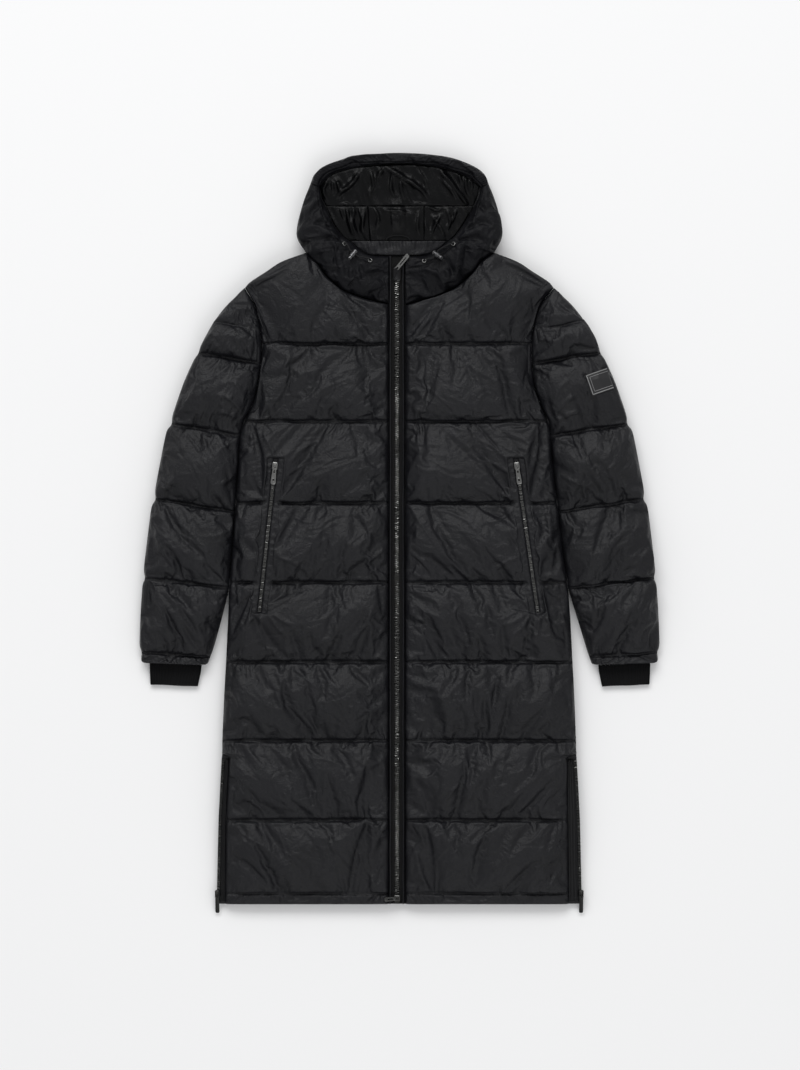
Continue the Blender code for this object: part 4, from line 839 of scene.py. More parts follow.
def finish_sleeve(side, panel, marks, base, under=False):
    sheet = refine(panel.lies)
    floor = refine(np.dstack([base, base, base]))[..., 0]
    step = np.linalg.norm(np.diff(sheet[:, :1, :2], axis=0), axis=2)[:, 0]
    far = np.r_[0, np.cumsum(step)]
    if not under:
        x, y = sheet[..., 0].copy(), sheet[..., 1].copy()
        seed = 401 if side == "right" else 501
        extra = folds(SIDES[side] * x, y, ARM_FOLDS)
        for number, (low, high) in enumerate(zip(marks, marks[1:])):
            middle = sheet[low + high, sheet.shape[1] // 2]
            span = 0.45 * (far[2 * high] - far[2 * low])
            angle = (1.0, 1.2, 2.1, 2.3, 2.0)[number]
            extra += creases(x, y, seed + number, middle[:2], (0.07, span),
                             angle if side == "right" else math.pi - angle, 30, CREASE_HEIGHT)
        extra += wrinkles(x, y, seed + 20)
        across = np.linspace(0, 1, sheet.shape[1])
        sheet[..., 2] += extra * np.minimum(1, 8 * np.minimum(across, 1 - across))[None]
    depth = 0.0016 if under else 0.0030
    for mark in marks[1:]:
        sheet[..., 2] -= depth * bump(far - far[2 * mark], 0.0021)[:, None]
    if under:
        sheet[..., 2] = floor - np.clip(sheet[..., 2], LEAST_HEIGHT, floor)
    else:
        floor = floor + GAP
        if side == "left":
            sheet = press_under(sheet, ["sleeve_patch"])
        sheet[..., 2] = np.maximum(sheet[..., 2], floor + LEAST_HEIGHT)
    node = f"sleeve_{'under' if under else 'top'}_{side}"
    padded_panel(panel.name, sheet, floor, "nylon_black", node)


def back_panel():
    use = settings()
    pitch = use.grid * 2.0
    rows, marks = seamed_rows(QUILT_SEAMS, pitch)
    columns = 2 * round(BACK_HALF / pitch) + 1
    u = np.linspace(0, 1, columns)
    ends = []
    for side in SIDES:
        above = [row for row in BODY_EDGE if row[0] > VENT_EDGE[-1][0]][:2]
        table = edge_table(side, [*VENT_EDGE, *above])
        ends.append(np.where(rows <= table[-1, 0], np.interp(rows, table[:, 0], table[:, 1]),
                             edge_x(side, rows)))
    right, left = ends
    lower = np.stack([right[:, None] + (left - right)[:, None] * u,
                      np.broadcast_to(rows[:, None], (len(rows), columns))], -1)
    crown_line = np.vstack([smooth_line(list(SHOULDER["right"]) + [NECK_SEAM["right"][0]]),
                            smooth_line(list(SHOULDER["left"]) + [NECK_SEAM["left"][0]])[::-1]])
    top = along(crown_line, u)
    v = np.linspace(0, 1, round(FAN_LENGTH / pitch) + 1)[1:, None]
    arm_y = TOP_SEAM_Y + v * (BODY_EDGE[-1][0] - TOP_SEAM_Y)
    fan = lower[-1][None] * (1 - v[..., None]) + top[None] * v[..., None]
    for side, weight, end in (("right", (1 - u) ** 8, 0), ("left", u ** 8, -1)):
        arm = np.concatenate([edge_x(side, arm_y), arm_y], 1)
        fan = fan + (arm - fan[:, end])[:, None] * weight[None, :, None]
    plan = np.concatenate([lower, fan])
    swell = body_swell(rows, marks, v)
    base = layer_height(plan[..., 1])
    to_edge = np.minimum(np.linalg.norm(plan - plan[:, :1], axis=2),
                         np.linalg.norm(plan - plan[:, -1:], axis=2))
    z = base * crown(to_edge, UNDER_ROUND) * (0.80 + 0.26 * swell[:, None]) + 0.0010
    x, y = plan[..., 0], plan[..., 1]
    panel = Panel("back_quilting", np.dstack([x, y, z]), 0.8)
    for mark in marks[1:]:
        panel.sewn[mark] = True
    near = sum(bump(y - s, 0.015) for s in QUILT_SEAMS[1:])
    wide = (use.ease + use.seam_ease * near) * (1 + UNEVEN * ripple(x, y, 51, 0.13))
    panel.ease(wide, 0.010, channel_shear("back", marks, len(plan)))
    panel.crumple(52, 0.06, 0.0014)
    return panel, marks


def finish_back(panel, marks):
    sheet = refine(panel.lies)
    base = layer_height(sheet[..., 1])
    for mark in marks[1:]:
        sheet[..., 2] -= 0.0016 * bump(sheet[..., 1] - sheet[2 * mark, :, 1][None], 0.0030)
    sheet[..., 2] = base - np.clip(sheet[..., 2], LEAST_HEIGHT, base)
    padded_panel(panel.name, sheet, base, "nylon_black", "back")


def hood_side_panel(side):
    use = settings()
    table = HOOD_SIDE[side]
    places = [0.0]
    for i in range(len(table) - 1):
        length = math.dist(table[i][2:4], table[i + 1][2:4])
        places.extend(np.linspace(i, i + 1, max(3, round(length / use.grid)) + 1)[1:])
    places = np.array(places)
    inner = curve_at([row[:2] for row in table], places)
    outer = curve_at([row[2:4] for row in table], places, (5,))
    puff = np.interp(places, range(len(table)), [row[4] for row in table])[:, None]
    u = np.linspace(0, 1, 25)
    plan = sheet_between(inner, outer, u)
    width = np.linalg.norm(outer - inner, axis=1)[:, None]
    ends = np.minimum(u, 1 - u)[None] * width
    reach = np.minimum(0.03, 0.5 * width)
    z = LAYER + GAP + EDGE_HEIGHT + 0.0018 * crown(ends, 0.006)
    z = z + crown(ends, reach) * (puff + SEAM_LIFT * np.minimum(1, width / 0.048) - 0.003)
    x, y = plan[..., 0], plan[..., 1]
    panel = Panel(f"hood_{side}_quilting", np.dstack([x, y, z]))
    panel.sewn[width[:, 0] < 0.022] = True
    tunnel = int(round(0.20 * (len(u) - 1)))
    panel.sewn[(width[:, 0] > 0.05), tunnel] = True
    seed = 61 if side == "right" else 62
    panel.ease(0.04 * (1 + UNEVEN * ripple(x, y, seed, 0.06)), 0.045)
    panel.crumple(seed + 2, 0.04, 0.0016)
    return panel, tunnel


HOOD_FOLDS = (            # as on the wearer's left; a negative height is a crease
    (0.0060, 0.0046, (0.1040, 0.5120), (0.1230, 0.5290), (0.1480, 0.5380)),
    (0.0036, -0.0042, (0.1010, 0.5060), (0.1220, 0.5190), (0.1500, 0.5270)),
    (0.0060, 0.0040, (0.0980, 0.4990), (0.1220, 0.5090), (0.1540, 0.5150)),
    (0.0036, -0.0036, (0.0930, 0.4940), (0.1180, 0.4990), (0.1520, 0.4960)),
    (0.0050, 0.0040, (0.0780, 0.4500), (0.0830, 0.4320), (0.0740, 0.4190)),
    (0.0032, -0.0040, (0.0860, 0.4520), (0.0880, 0.4360), (0.0800, 0.4240)),
    (0.0060, 0.0044, (0.1040, 0.4800), (0.0980, 0.4560), (0.0990, 0.4340)),
    (0.0036, -0.0042, (0.1130, 0.4880), (0.1100, 0.4660), (0.1070, 0.4480)),
    (0.0050, 0.0034, (0.1330, 0.4880), (0.1290, 0.4700), (0.1200, 0.4540)),
    (0.0045, 0.0030, (0.0330, 0.4520), (0.0580, 0.4420), (0.0760, 0.4300)),
    (0.0050, 0.0034, (0.1340, 0.5700), (0.1460, 0.5580), (0.1590, 0.5400)),
    (0.0032, -0.0034, (0.1300, 0.5610), (0.1420, 0.5480), (0.1560, 0.5330)),
)


def finish_hood_side(side, panel, tunnel):
    sheet = refine(panel.lies)
    x, y = sheet[..., 0].copy(), sheet[..., 1].copy()
    floor = np.full(sheet.shape[:2], LAYER + GAP)
    across = np.linspace(0, 1, sheet.shape[1])
    ends = np.minimum(1, 7 * np.minimum(across, 1 - across))[None]
    sign = SIDES[side]
    extra = folds(sign * x, y, HOOD_FOLDS)
    extra += creases(x, y, 601 if side == "right" else 602, (sign * 0.12, 0.50), (0.05, 0.07),
                     math.pi / 2 - sign * 1.05, 16, HOOD_CREASE_HEIGHT)
    extra += creases(x, y, 603 if side == "right" else 604, (sign * 0.07, 0.43), (0.05, 0.03),
                     math.pi / 2 + sign * 0.9, 12, HOOD_CREASE_HEIGHT)
    extra += wrinkles(x, y, 620 if side == "right" else 640)
    sheet[..., 2] += extra * ends
    sheet[..., 2] -= 0.0022 * bump(across - tunnel / (panel.lies.shape[1] - 1), 0.02)[None] \
        * (y[:, :1] > 0.475)
    hard = [f"eyelet_{side}_upper", f"eyelet_{side}_lower", f"cord_lock_{side}",
            f"lock_button_{side}", f"drawcord_{side}_upper", f"drawcord_{side}_lower"]
    sheet = press_under(sheet, hard, 0.0004, 0.7)
    sheet[..., 2] = np.maximum(sheet[..., 2], floor + LEAST_HEIGHT)
    padded_panel(panel.name, sheet, floor, "hood_black", f"hood_{side}")


def brim_panel():
    places = np.linspace(0, len(HOOD_BRIM) - 1, 110)
    table = [BRIM_ENDS[0], *HOOD_BRIM[1:-1], BRIM_ENDS[1]]
    outer = curve_at([row[:2] for row in table], places)
    inner = curve_at([row[2:] for row in table], places)
    u = np.linspace(0, 1, 9)
    plan = sheet_between(outer, inner, u)
    z = LAYER + GAP + 0.0022 + 0.0105 * crown(np.minimum(u, 1 - u), 0.5)[None] + 0 * plan[..., 0]
    x, y = plan[..., 0], plan[..., 1]
    panel = Panel("hood_brim_tunnel", np.dstack([x, y, z]), 0.25, 0.8)
    middle = panel.lies.mean((0, 1))
    panel.cut = middle + (panel.lies - middle) * np.array([1.03, 1.03, 1.0])
    panel.crumple(73, 0.03, 0.0010)
    return panel


def finish_brim(panel):
    sheet = refine(refine(panel.lies))
    floor = np.full(sheet.shape[:2], LAYER + GAP)
    way = np.linspace(0, 1, len(sheet))[:, None]
    u = np.linspace(0, 1, sheet.shape[1])[None]
    slant = np.clip((way - 0.5) * 8, -1, 1) * 0.020 * (u - 0.5)
    turns = math.tau * (way + slant) * 46 + 1.8 * ripple(way, 0 * way, 74, 0.09)
    size = 0.0010 * (1 + 0.5 * ripple(way, u * 0.1, 75, 0.05))
    sheet[..., 2] += size * (np.abs(np.sin(turns / 2)) ** 0.7 - 0.6) * np.sin(math.pi * u) ** 0.6
    sheet[..., 2] -= 0.0030 * bump(u - 0.80, 0.05)
    sheet[..., 2] = np.maximum(sheet[..., 2], floor + LEAST_HEIGHT)
    padded_panel(panel.name, sheet, floor, "hood_black", "hood_brim")


def hood_back_panel():
    places = np.linspace(0, len(HOOD_BACK) - 1, 44)
    rows = curve_at(HOOD_BACK, places)
    u = np.linspace(0, 1, 69)
    x, y = places_across(rows, u)
    to_edge = np.minimum(u, 1 - u)[None] * (rows[:, 2:3] - rows[:, 1:2])
    to_edge = np.minimum(to_edge, (rows[-1, 0] - y) + 0.0015)
    z = (LAYER - 0.001) * crown(to_edge, 0.026) + 0.0010
    panel = Panel("hood_back_quilting", np.dstack([x, y, z]), 0.8)
    panel.ease(0.03 * (1 + UNEVEN * ripple(x, y, 81, 0.08)), 0.03)
    panel.crumple(82, 0.05, 0.0014)
    return panel


def finish_hood_back(panel):
    sheet = refine(panel.lies)
    base = np.full(sheet.shape[:2], LAYER)
    sheet[..., 2] = base - np.clip(sheet[..., 2], LEAST_HEIGHT, base)
    padded_panel(panel.name, sheet, base, "nylon_black", "hood_back")


class COAT_OT_padding(bpy.types.Operator):
    """Sews and settles the padded panels of the body, the sleeves and the hood"""
    bl_idname = "coat.padding"
    bl_label = "Padded panels"

    def execute(self, context):
        fronts = {side: front_panel(side) for side in SIDES}
        tops = {side: sleeve_panel(side) for side in SIDES}
        unders = {side: sleeve_panel(side, True) for side in SIDES}
        hoods = {side: hood_side_panel(side) for side in SIDES}
        back, brim, hood_back = back_panel(), brim_panel(), hood_back_panel()
        settle([fronts["right"][0], fronts["left"][0], back[0], tops["right"][0], tops["left"][0],
                unders["right"][0], unders["left"][0], hoods["right"][0], hoods["left"][0], brim,
                hood_back])
        for side in SIDES:
            finish_front(side, *fronts[side])
            finish_sleeve(side, *tops[side])
            finish_sleeve(side, *unders[side], under=True)
            finish_hood_side(side, *hoods[side])
        finish_back(*back)
        finish_brim(brim)
        finish_hood_back(hood_back)
        return {"FINISHED"}


# ---------------------------------------------------------------- lining and knitted cuffs
LINING_FOLDS = (
    (0.0026, 0.0062, (-0.0230, 0.6205), (0.0145, 0.5980), (0.0385, 0.5810), (0.0520, 0.5620)),
    (0.0024, 0.0050, (-0.0670, 0.6130), (-0.0810, 0.5930), (-0.0995, 0.5790), (-0.1100, 0.5670)),
    (0.0022, 0.0040, (-0.1062, 0.5990), (-0.1010, 0.5790)),
    (0.0024, 0.0055, (0.0690, 0.6140), (0.0890, 0.5930), (0.1080, 0.5670), (0.1180, 0.5580)),
    (0.0022, 0.0042, (0.0710, 0.6010), (0.0860, 0.5840), (0.0960, 0.5670)),
    (0.0020, 0.0036, (-0.0260, 0.6200), (-0.0380, 0.6020), (-0.0330, 0.5850)),
    (0.0019, 0.0034, (-0.0130, 0.6100), (-0.0150, 0.5850), (-0.0060, 0.5700)),
    (0.0018, 0.0030, (-0.0480, 0.6120), (-0.0450, 0.5880), (-0.0540, 0.5720)),
    (0.0018, 0.0030, (0.0010, 0.6000), (0.0030, 0.5800), (0.0090, 0.5660)),
    (0.0018, 0.0030, (0.0330, 0.6150), (0.0440, 0.5960), (0.0430, 0.5850)),
    (0.0020, 0.0036, (-0.1240, 0.5960), (-0.1290, 0.5790), (-0.1190, 0.5620)),
    (0.0018, 0.0032, (-0.1150, 0.5980), (-0.1130, 0.5760)),
    (0.0018, 0.0034, (0.1110, 0.6060), (0.1130, 0.5850), (0.1190, 0.5700)),
    (0.0018, 0.0032, (0.1210, 0.6000), (0.1240, 0.5830)),
    (0.0018, 0.0030, (0.1010, 0.6100), (0.1060, 0.5920)),
    (0.0026, -0.0024, (0.0190, 0.5700), (0.0480, 0.5620)),
    (0.0030, -0.0024, (-0.0960, 0.5650), (-0.0680, 0.5680)),
    (0.0022, 0.0036, (-0.0900, 0.5540), (-0.0860, 0.5300), (-0.0800, 0.5060)),
    (0.0020, 0.0036, (-0.0780, 0.5530), (-0.0800, 0.5280), (-0.0720, 0.5040)),
    (0.0018, 0.0032, (-0.0690, 0.5520), (-0.0640, 0.5300), (-0.0680, 0.5060)),
    (0.0018, 0.0030, (-0.1010, 0.5520), (-0.0930, 0.5300)),
    (0.0018, 0.0030, (-0.0600, 0.5500), (-0.0640, 0.5100)),
    (0.0120, 0.0050, (-0.0160, 0.5330), (0.0120, 0.5340)),
    (0.0018, 0.0028, (-0.0260, 0.5480), (0.0060, 0.5450), (0.0280, 0.5380)),
    (0.0018, 0.0026, (-0.0420, 0.5520), (-0.0360, 0.5340), (-0.0430, 0.5100)),
    (0.0018, 0.0026, (0.0320, 0.5440), (0.0300, 0.5200), (0.0340, 0.5060)),
    (0.0020, 0.0038, (0.0560, 0.5380), (0.0680, 0.5200), (0.0780, 0.5050)),
    (0.0020, 0.0036, (0.0690, 0.5390), (0.0590, 0.5200), (0.0540, 0.5050)),
    (0.0018, 0.0032, (0.0800, 0.5500), (0.0860, 0.5300), (0.0800, 0.5120)),
    (0.0018, 0.0030, (0.0960, 0.5480), (0.0900, 0.5280)),
    (0.0018, 0.0030, (0.0500, 0.5540), (0.0640, 0.5480), (0.0740, 0.5540)),
)
LINING_PITCH, LINING_SEED = 0.0016, 701


def lining_height(x, y, seed):
    shape = 0.0016 + folds(x, y, [(1.5 * w, 1.5 * h, *line) for w, h, *line in LINING_FOLDS])
    shape += 0.0013 * ripple(0.80 * x + 0.30 * y, 0.22 * y, seed, 0.013)
    return np.clip(shape, 0.0002, 0.0100)


def plan_area(grid):
    """Area of a grid of places in plan."""
    ring = grid.reshape(-1, 2)[border(*grid.shape[:2])]
    x, y = ring.T
    return 0.5 * abs(float((x * np.roll(y, -1) - y * np.roll(x, -1)).sum()))


def lining_piece(name, rows, columns, seed, node):
    """One panel of the lining: rows of places, each read at shares of its length."""
    u = np.linspace(0, 1, columns)
    lines = np.stack([along(np.asarray(row, float), u) for row in rows])
    tall = np.linalg.norm(lines[-1, columns // 2] - lines[0, columns // 2])
    places = np.linspace(0, len(rows) - 1, max(6, round(tall / LINING_PITCH)))
    plan = curve_at(lines.reshape(len(rows), -1), places).reshape(len(places), columns, 2)
    x, y = plan[..., 0], plan[..., 1]
    rim = np.minimum.reduce([abs(y - y[:1]), abs(y - y[-1:]),
                             np.linalg.norm(plan - plan[:, :1], axis=2),
                             np.linalg.norm(plan - plan[:, -1:], axis=2)])
    z = LAYER + GAP + EDGE_HEIGHT + lining_height(x, y, seed) * (0.35 + 0.65 * crown(rim, 0.0030))
    item = closed_panel(name, np.dstack([x, y, z]), np.full(x.shape, LAYER + GAP), "lining_black",
                        node)
    round(1.2 * plan_area(plan), 5)


def make_lining():
    share, inset = LINING_ARCH
    arch = smooth_line([(x * share, y - inset) for _, _, x, y in HOOD_BRIM])
    rows = [[(-half, y), (half, y)] for y, half in LINING_SIDES] + [arch]
    lining_piece("hood_lining_upper_cloth", rows, 169, LINING_SEED,
                 "hood_lining_upper")
    for start, part in enumerate(("right", "middle", "left"), 1):
        trim_a = LINING_CLEAR if part == "right" else SEAM_GAP
        trim_b = LINING_CLEAR if part == "left" else 0.0
        rows = [[(row[start] + trim_a, row[0]), (row[start + 1] - trim_b, row[0])]
                for row in LINING_ROWS[::-1]]
        width = LINING_ROWS[0][start + 1] - LINING_ROWS[0][start]
        lining_piece(f"hood_lining_{part}_cloth", rows, round(width / LINING_PITCH),
                     LINING_SEED + 10 * start,
                     f"hood_lining_{part}")


def make_neck_band():
    rows = curve_at(NECK_BAND, np.linspace(0, len(NECK_BAND) - 1, 18))
    u = np.linspace(0, 1, 95)
    x, y = places_across(rows, u)
    v = np.linspace(0, 1, len(rows))[:, None]
    swell = 0.0060 * np.sqrt(4 * v * (1 - v) + 0.02) * (1 - abs(2 * u - 1) ** 4)[None]
    swell = swell * (0.80 + 0.30 * ripple(x, 0.3 * y, 741, 0.012))
    swell += 0.0006 * ripple(x, y, 742, 0.02)
    sheet = np.dstack([x, y, LAYER + GAP + 0.0014 + np.maximum(swell, 0)])
    padded_panel("neck_band_padding", sheet, np.full(x.shape, LAYER + GAP), "nylon_black",
                 "neck_band")


CUFF_RIBS, CUFF_RIB_DEPTH = 60, 0.00060
LOOP_ROUTE = ((-0.0230, 0.4985), (-0.0190, 0.5028), (-0.0110, 0.5054), (-0.0026, 0.5060),
              (0.0058, 0.5054), (0.0138, 0.5028), (0.0179, 0.4985))
LOOP_RADIUS = 0.0013


def make_loop():
    height = LAYER + 2 * GAP + LINING_THICK + LOOP_RADIUS
    line = smooth_line([(x, y, height) for x, y in LOOP_ROUTE], 8)
    round_tube("hanger_loop_cord", line, LOOP_RADIUS, "tape_black", 16, nodes=("hanger_loop",))


def make_cuff(side):
    """Flattened ribbed tube, open at its end, with its wall turned in."""
    sign, rings, table = SIDES[side], [], np.array(CUFF_ROWS)
    count = CUFF_RIBS * 6
    turn = np.arange(count) * math.tau / count
    places = [*np.linspace(0, 1, 15), 1.012, 1.0, 0.9, 0.6, 0.3]
    for number, place in enumerate(places):
        inner = number > 15
        ends = []
        spot = np.clip(place, 0, 1) * (len(table) - 1)
        for k, (top, low) in enumerate(zip(CUFF_TOP_Y, CUFF_END_Y)):
            across = np.interp(spot, range(len(table)), table[:, k])
            ends.append((-sign * (across - CUFF_SHIFT[side]), top + place * (low - top)))
        ends = np.array(ends)
        width = np.linalg.norm(ends[1] - ends[0])
        half = CUFF_HEIGHT / 2 - (CUFF_WALL * 0.55 if inner else 0) - 0.0006 * (number == 15)
        if not inner:
            half = half * (1 - 0.10 * (1 - place) ** 2)
        reach = width / 2 - CUFF_HEIGHT / 2
        rib = CUFF_RIB_DEPTH * np.cos(turn * CUFF_RIBS) * (0.4 if inner else 1.0)
        flat = np.sign(np.cos(turn)) * reach * np.minimum(1, abs(np.cos(turn)) * 1.35) ** 0.8
        along_x = flat + (half + rib) * np.cos(turn) * np.minimum(1, abs(np.cos(turn)) ** 3 + 0.2)
        up = (half + rib - 0.0003) * np.sign(np.sin(turn))
        up = up * np.minimum(1, abs(np.sin(turn)) * 2.2) ** 0.55
        share = 0.5 + along_x / width
        plan = ends[0] + (ends[1] - ends[0]) * share[:, None]
        plan[:, 1] += 0.0003 * np.sin(share * 9 + sign) * place
        rings.append(np.column_stack([plan, CUFF_HEIGHT / 2 + up]))
    item = piece_from(f"cuff_{side}_ribbing", np.vstack(rings), ring_faces(len(rings), count),
                      "rib_black", (f"cuff_{side}",))


class COAT_OT_lining(bpy.types.Operator):
    """Makes the hood's lining, the neck band inside it and the knitted cuffs"""
    bl_idname = "coat.lining"
    bl_label = "Lining and cuffs"

    def execute(self, context):
        make_lining()
        make_neck_band()
        make_loop()
        for side in SIDES:
            make_cuff(side)
        return {"FINISHED"}


# ---------------------------------------------------------------- tapes, folds and teeth
TAPE, TAPE_TOP_Y, TAPE_THICK = (-0.0184, 0.0099), 0.4719, 0.0015
ZIP_X, CHAIN_Y = -0.0042, (-0.6140, 0.4288)
CHAIN_HEIGHT = 0.0028
EDGING_WIDTH, EDGING_HEIGHT = 0.0040, 0.0060
ZIP_LIFT = 2 * GAP + TAPE_THICK
FOLD_SECTION = ((0, 0.18), (0.22, 0.34), (0.36, 0.80), (0.46, 0.96), (0.62, 1.0), (0.82, 0.96),
                (0.93, 0.80), (1, 0.30))          # from the panel's side to the teeth
VENT_TAPE_IN, VENT_TAPE_UP, VENT_CHAIN_UP, VENT_TOP_Y = 0.0052, 0.0045, 0.0245, -0.3830
POCKET_SKIRT, POCKET_CREST, POCKET_LIP, POCKET_CLOSE = 0.0200, 0.0078, 0.0044, 0.0110


def ribbon(name, places, outline, material, node):
    """Band along rows of (x from, x to, y, height), with a section given as (share, rise)."""
    shares, rises = np.array(outline).T
    rows = []
    for x_a, x_b, y, z in places:
        rows.append(np.column_stack([x_a + (x_b - x_a) * shares, np.full(len(shares), y),
                                     z + rises]))
    sheet = np.array(rows)
    floor = np.broadcast_to(np.array([p[3] for p in places])[:, None], sheet.shape[:2])
    return closed_panel(name, sheet, np.ascontiguousarray(floor), material, node)


def tape_outline(width, thick, ridges, rise=0.0006):
    """Section of a woven tape, with soft ridges at the given places across it."""
    at = np.linspace(0, width, 33)
    top = thick * 0.7 + sum(rise * bump(at - r, 0.0009) for r in ridges)
    top[[0, -1]] = thick * 0.35
    return list(zip(at / width, np.minimum(top, thick + 0.0006)))


def zip_heights(low, high, step=0.006):
    return np.linspace(low, high, max(2, round((high - low) / step)))


def make_main_tape():
    rows = [(*TAPE, y, layer_height(y) + GAP) for y in zip_heights(HEM_Y + GAP, TAPE_TOP_Y)]
    ridges = (0.0046, 0.0072, 0.0212, 0.0238)
    item = ribbon("main_zip_tape_weave", rows, tape_outline(TAPE[1] - TAPE[0], TAPE_THICK, ridges),
                  "tape_black", "main_zip_tape")
    for side in SIDES:
        edge = TAPE[0] if side == "right" else TAPE[1] - EDGING_WIDTH
        shares = np.linspace(0, 1, 17)
        crest = EDGING_HEIGHT * np.interp(shares, *np.array(FOLD_SECTION).T)
        roll = list(zip(shares, crest if side == "right" else crest[::-1]))
        edge = edge - (0.0011 if side == "left" else -0.0002)
        rows = []
        for y in zip_heights(HEM_Y + GAP, TAPE_TOP_Y - GAP, 0.004):
            sway = 0.0003 * ripple(np.array(y), np.array(0.0), 751 + (side == "left"), 0.05)
            sink = 0.0006 * sum(bump(y - seam, 0.006) for seam in QUILT_SEAMS[1:])
            rows.append((edge + sway, edge + EDGING_WIDTH + sway, y,
                         float(layer_height(y) + ZIP_LIFT - sink)))
        item = ribbon(f"zip_fold_{side}", rows, roll, "nylon_black",
                      f"zip_edging_{side}")


def make_vent_tape(side):
    sign, rows, table = SIDES[side], [], edge_table(side, VENT_EDGE)
    for y in zip_heights(HEM_Y + VENT_TAPE_UP, VENT_TOP_Y):
        inner = float(edge_x(side, np.array(y))) + sign * SEAM_GAP
        split = np.interp(y, table[:, 0], table[:, 1]) - sign * VENT_TAPE_IN
        rows.append((*sorted((inner, split)), y, float(layer_height(y)) + GAP))
    width = rows[0][1] - rows[0][0]
    ridges = (0.22 * width, 0.52 * width, 0.82 * width)
    outline = tape_outline(width, 0.6 * TAPE_THICK, ridges, 0.0011)
    item = ribbon(f"vent_tape_{side}_weave", rows, outline, "vent_facing",
                  f"vent_tape_{side}")


def make_welt(side):
    """The pocket's two lips, with the zip sunk between them and their cloth drawn out over
    the front."""
    read, cloth = top_of(f"pocket_welt_{side}"), top_of(f"front_{side}_quilting")
    at = np.linspace(-POCKET_SKIRT, POCKET_SKIRT, 67)
    out = np.clip((abs(at) - POCKET_CREST) / (POCKET_SKIRT - POCKET_CREST), 0, 1)
    lips = POCKET_LIP * np.sqrt(np.clip(1 - ((abs(at) - POCKET_CREST) / 0.0050) ** 2, 0, 1))
    lips = np.where(abs(at) > POCKET_CREST, POCKET_LIP, lips)
    lips = np.where(abs(at) < 0.0036, 0.0018, lips)
    low, high = POCKET_END_Y - POCKET_CLOSE, POCKET_TOP_Y + POCKET_CLOSE
    ends = [np.array([cloth(float(pocket_x(side, y)) + x, y) for x in at]) for y in (low, high)]
    sheet = []
    for y in zip_heights(low, high, 0.0026):
        inside = min(max(y, POCKET_END_Y + 0.0001), POCKET_TOP_Y - 0.0001)
        middle = float(pocket_x(side, inside))
        base = read(middle, inside) - 0.0018
        edge = np.interp(at, (-POCKET_SKIRT, POCKET_SKIRT),
                         [cloth(middle + way * POCKET_SKIRT, inside) for way in (-1, 1)])
        height = (base + lips) * (1 - out ** 1.3) + (edge - 0.0006) * out ** 1.3
        gone = abs(y - inside) / POCKET_CLOSE
        gone = gone * gone * (3 - 2 * gone)
        height = height * (1 - gone) + (ends[int(y > 0)] - 0.0006) * gone
        sheet.append(np.column_stack([middle + at, np.full(len(at), y), height]))
    sheet = np.array(sheet)
    crimp = ripple(0.30 * sheet[..., 0], sheet[..., 1], 761, 0.0085)
    sheet[..., 2] += 0.0011 * crimp * bump(abs(at) - 0.0100, 0.0045)[None]
    floor = np.full(sheet.shape[:2], sheet[..., 2].min() - 0.0010)
    padded_panel(f"pocket_welt_{side}_lips", sheet, floor, "nylon_black", f"pocket_welt_{side}")


def copies(name, model, places, material, nodes=()):
    """One piece from many copies of a modelled shape, each at (point, x way, y way)."""
    shape = np.array([v.co for v in model.data.vertices])
    outline = [tuple(f.vertices) for f in model.data.polygons]
    points, faces = [], []
    for number, (point, way_x, way_y) in enumerate(places):
        way_x, way_y = np.asarray(way_x, float), np.asarray(way_y, float)
        way_x = way_x / np.linalg.norm(way_x)
        way_z = np.cross(way_x, way_y)
        way_z /= np.linalg.norm(way_z)
        turned = np.array([way_x, np.cross(way_z, way_x), way_z])
        points.append(np.asarray(point) + shape @ turned)
        faces.extend(tuple(i + number * len(shape) for i in face) for face in outline)
    data = bpy.data.meshes.new(name)
    data.from_pydata(np.vstack(points).tolist(), [], faces)
    for face in data.polygons:
        face.use_smooth = False
    return finish_piece(add_object(name, data), material, "coat", nodes)


def start_from(kind, name, **values):
    """Adds a primitive, alone in the selection, with its place and size in its mesh."""
    bpy.ops.object.select_all(action="DESELECT")
    getattr(bpy.ops.mesh, f"primitive_{kind}_add")(**values)
    item = bpy.context.object
    item.name = item.data.name = name
    bpy.ops.object.transform_apply(location=True, rotation=True, scale=True)
    return item


def pick(item, kind, test):
    """Selects, in edit mode, the faces, edges or vertices that pass the test."""
    if item.mode != "EDIT":
        bpy.ops.object.mode_set(mode="EDIT")
    bpy.ops.mesh.select_mode(type=kind)
    bpy.ops.mesh.select_all(action="DESELECT")
    shape = bmesh.from_edit_mesh(item.data)
    for part in {"FACE": shape.faces, "EDGE": shape.edges, "VERT": shape.verts}[kind]:
        if test(part):
            part.select_set(True)
    shape.select_flush_mode()
    bmesh.update_edit_mesh(item.data)


def leave_edit():
    bpy.ops.object.mode_set(mode="OBJECT")


def modify(item, kind, **values):
    """Adds a modifier, sets it and applies it."""
    modifier = item.modifiers.new(kind.lower(), kind)
    for label, value in values.items():
        setattr(modifier, label, value)
    bpy.context.view_layer.objects.active = item
    bpy.ops.object.modifier_apply(modifier=modifier.name)


def drop(item):
    data = item.data
    bpy.data.objects.remove(item, do_unlink=True)
    bpy.data.meshes.remove(data)


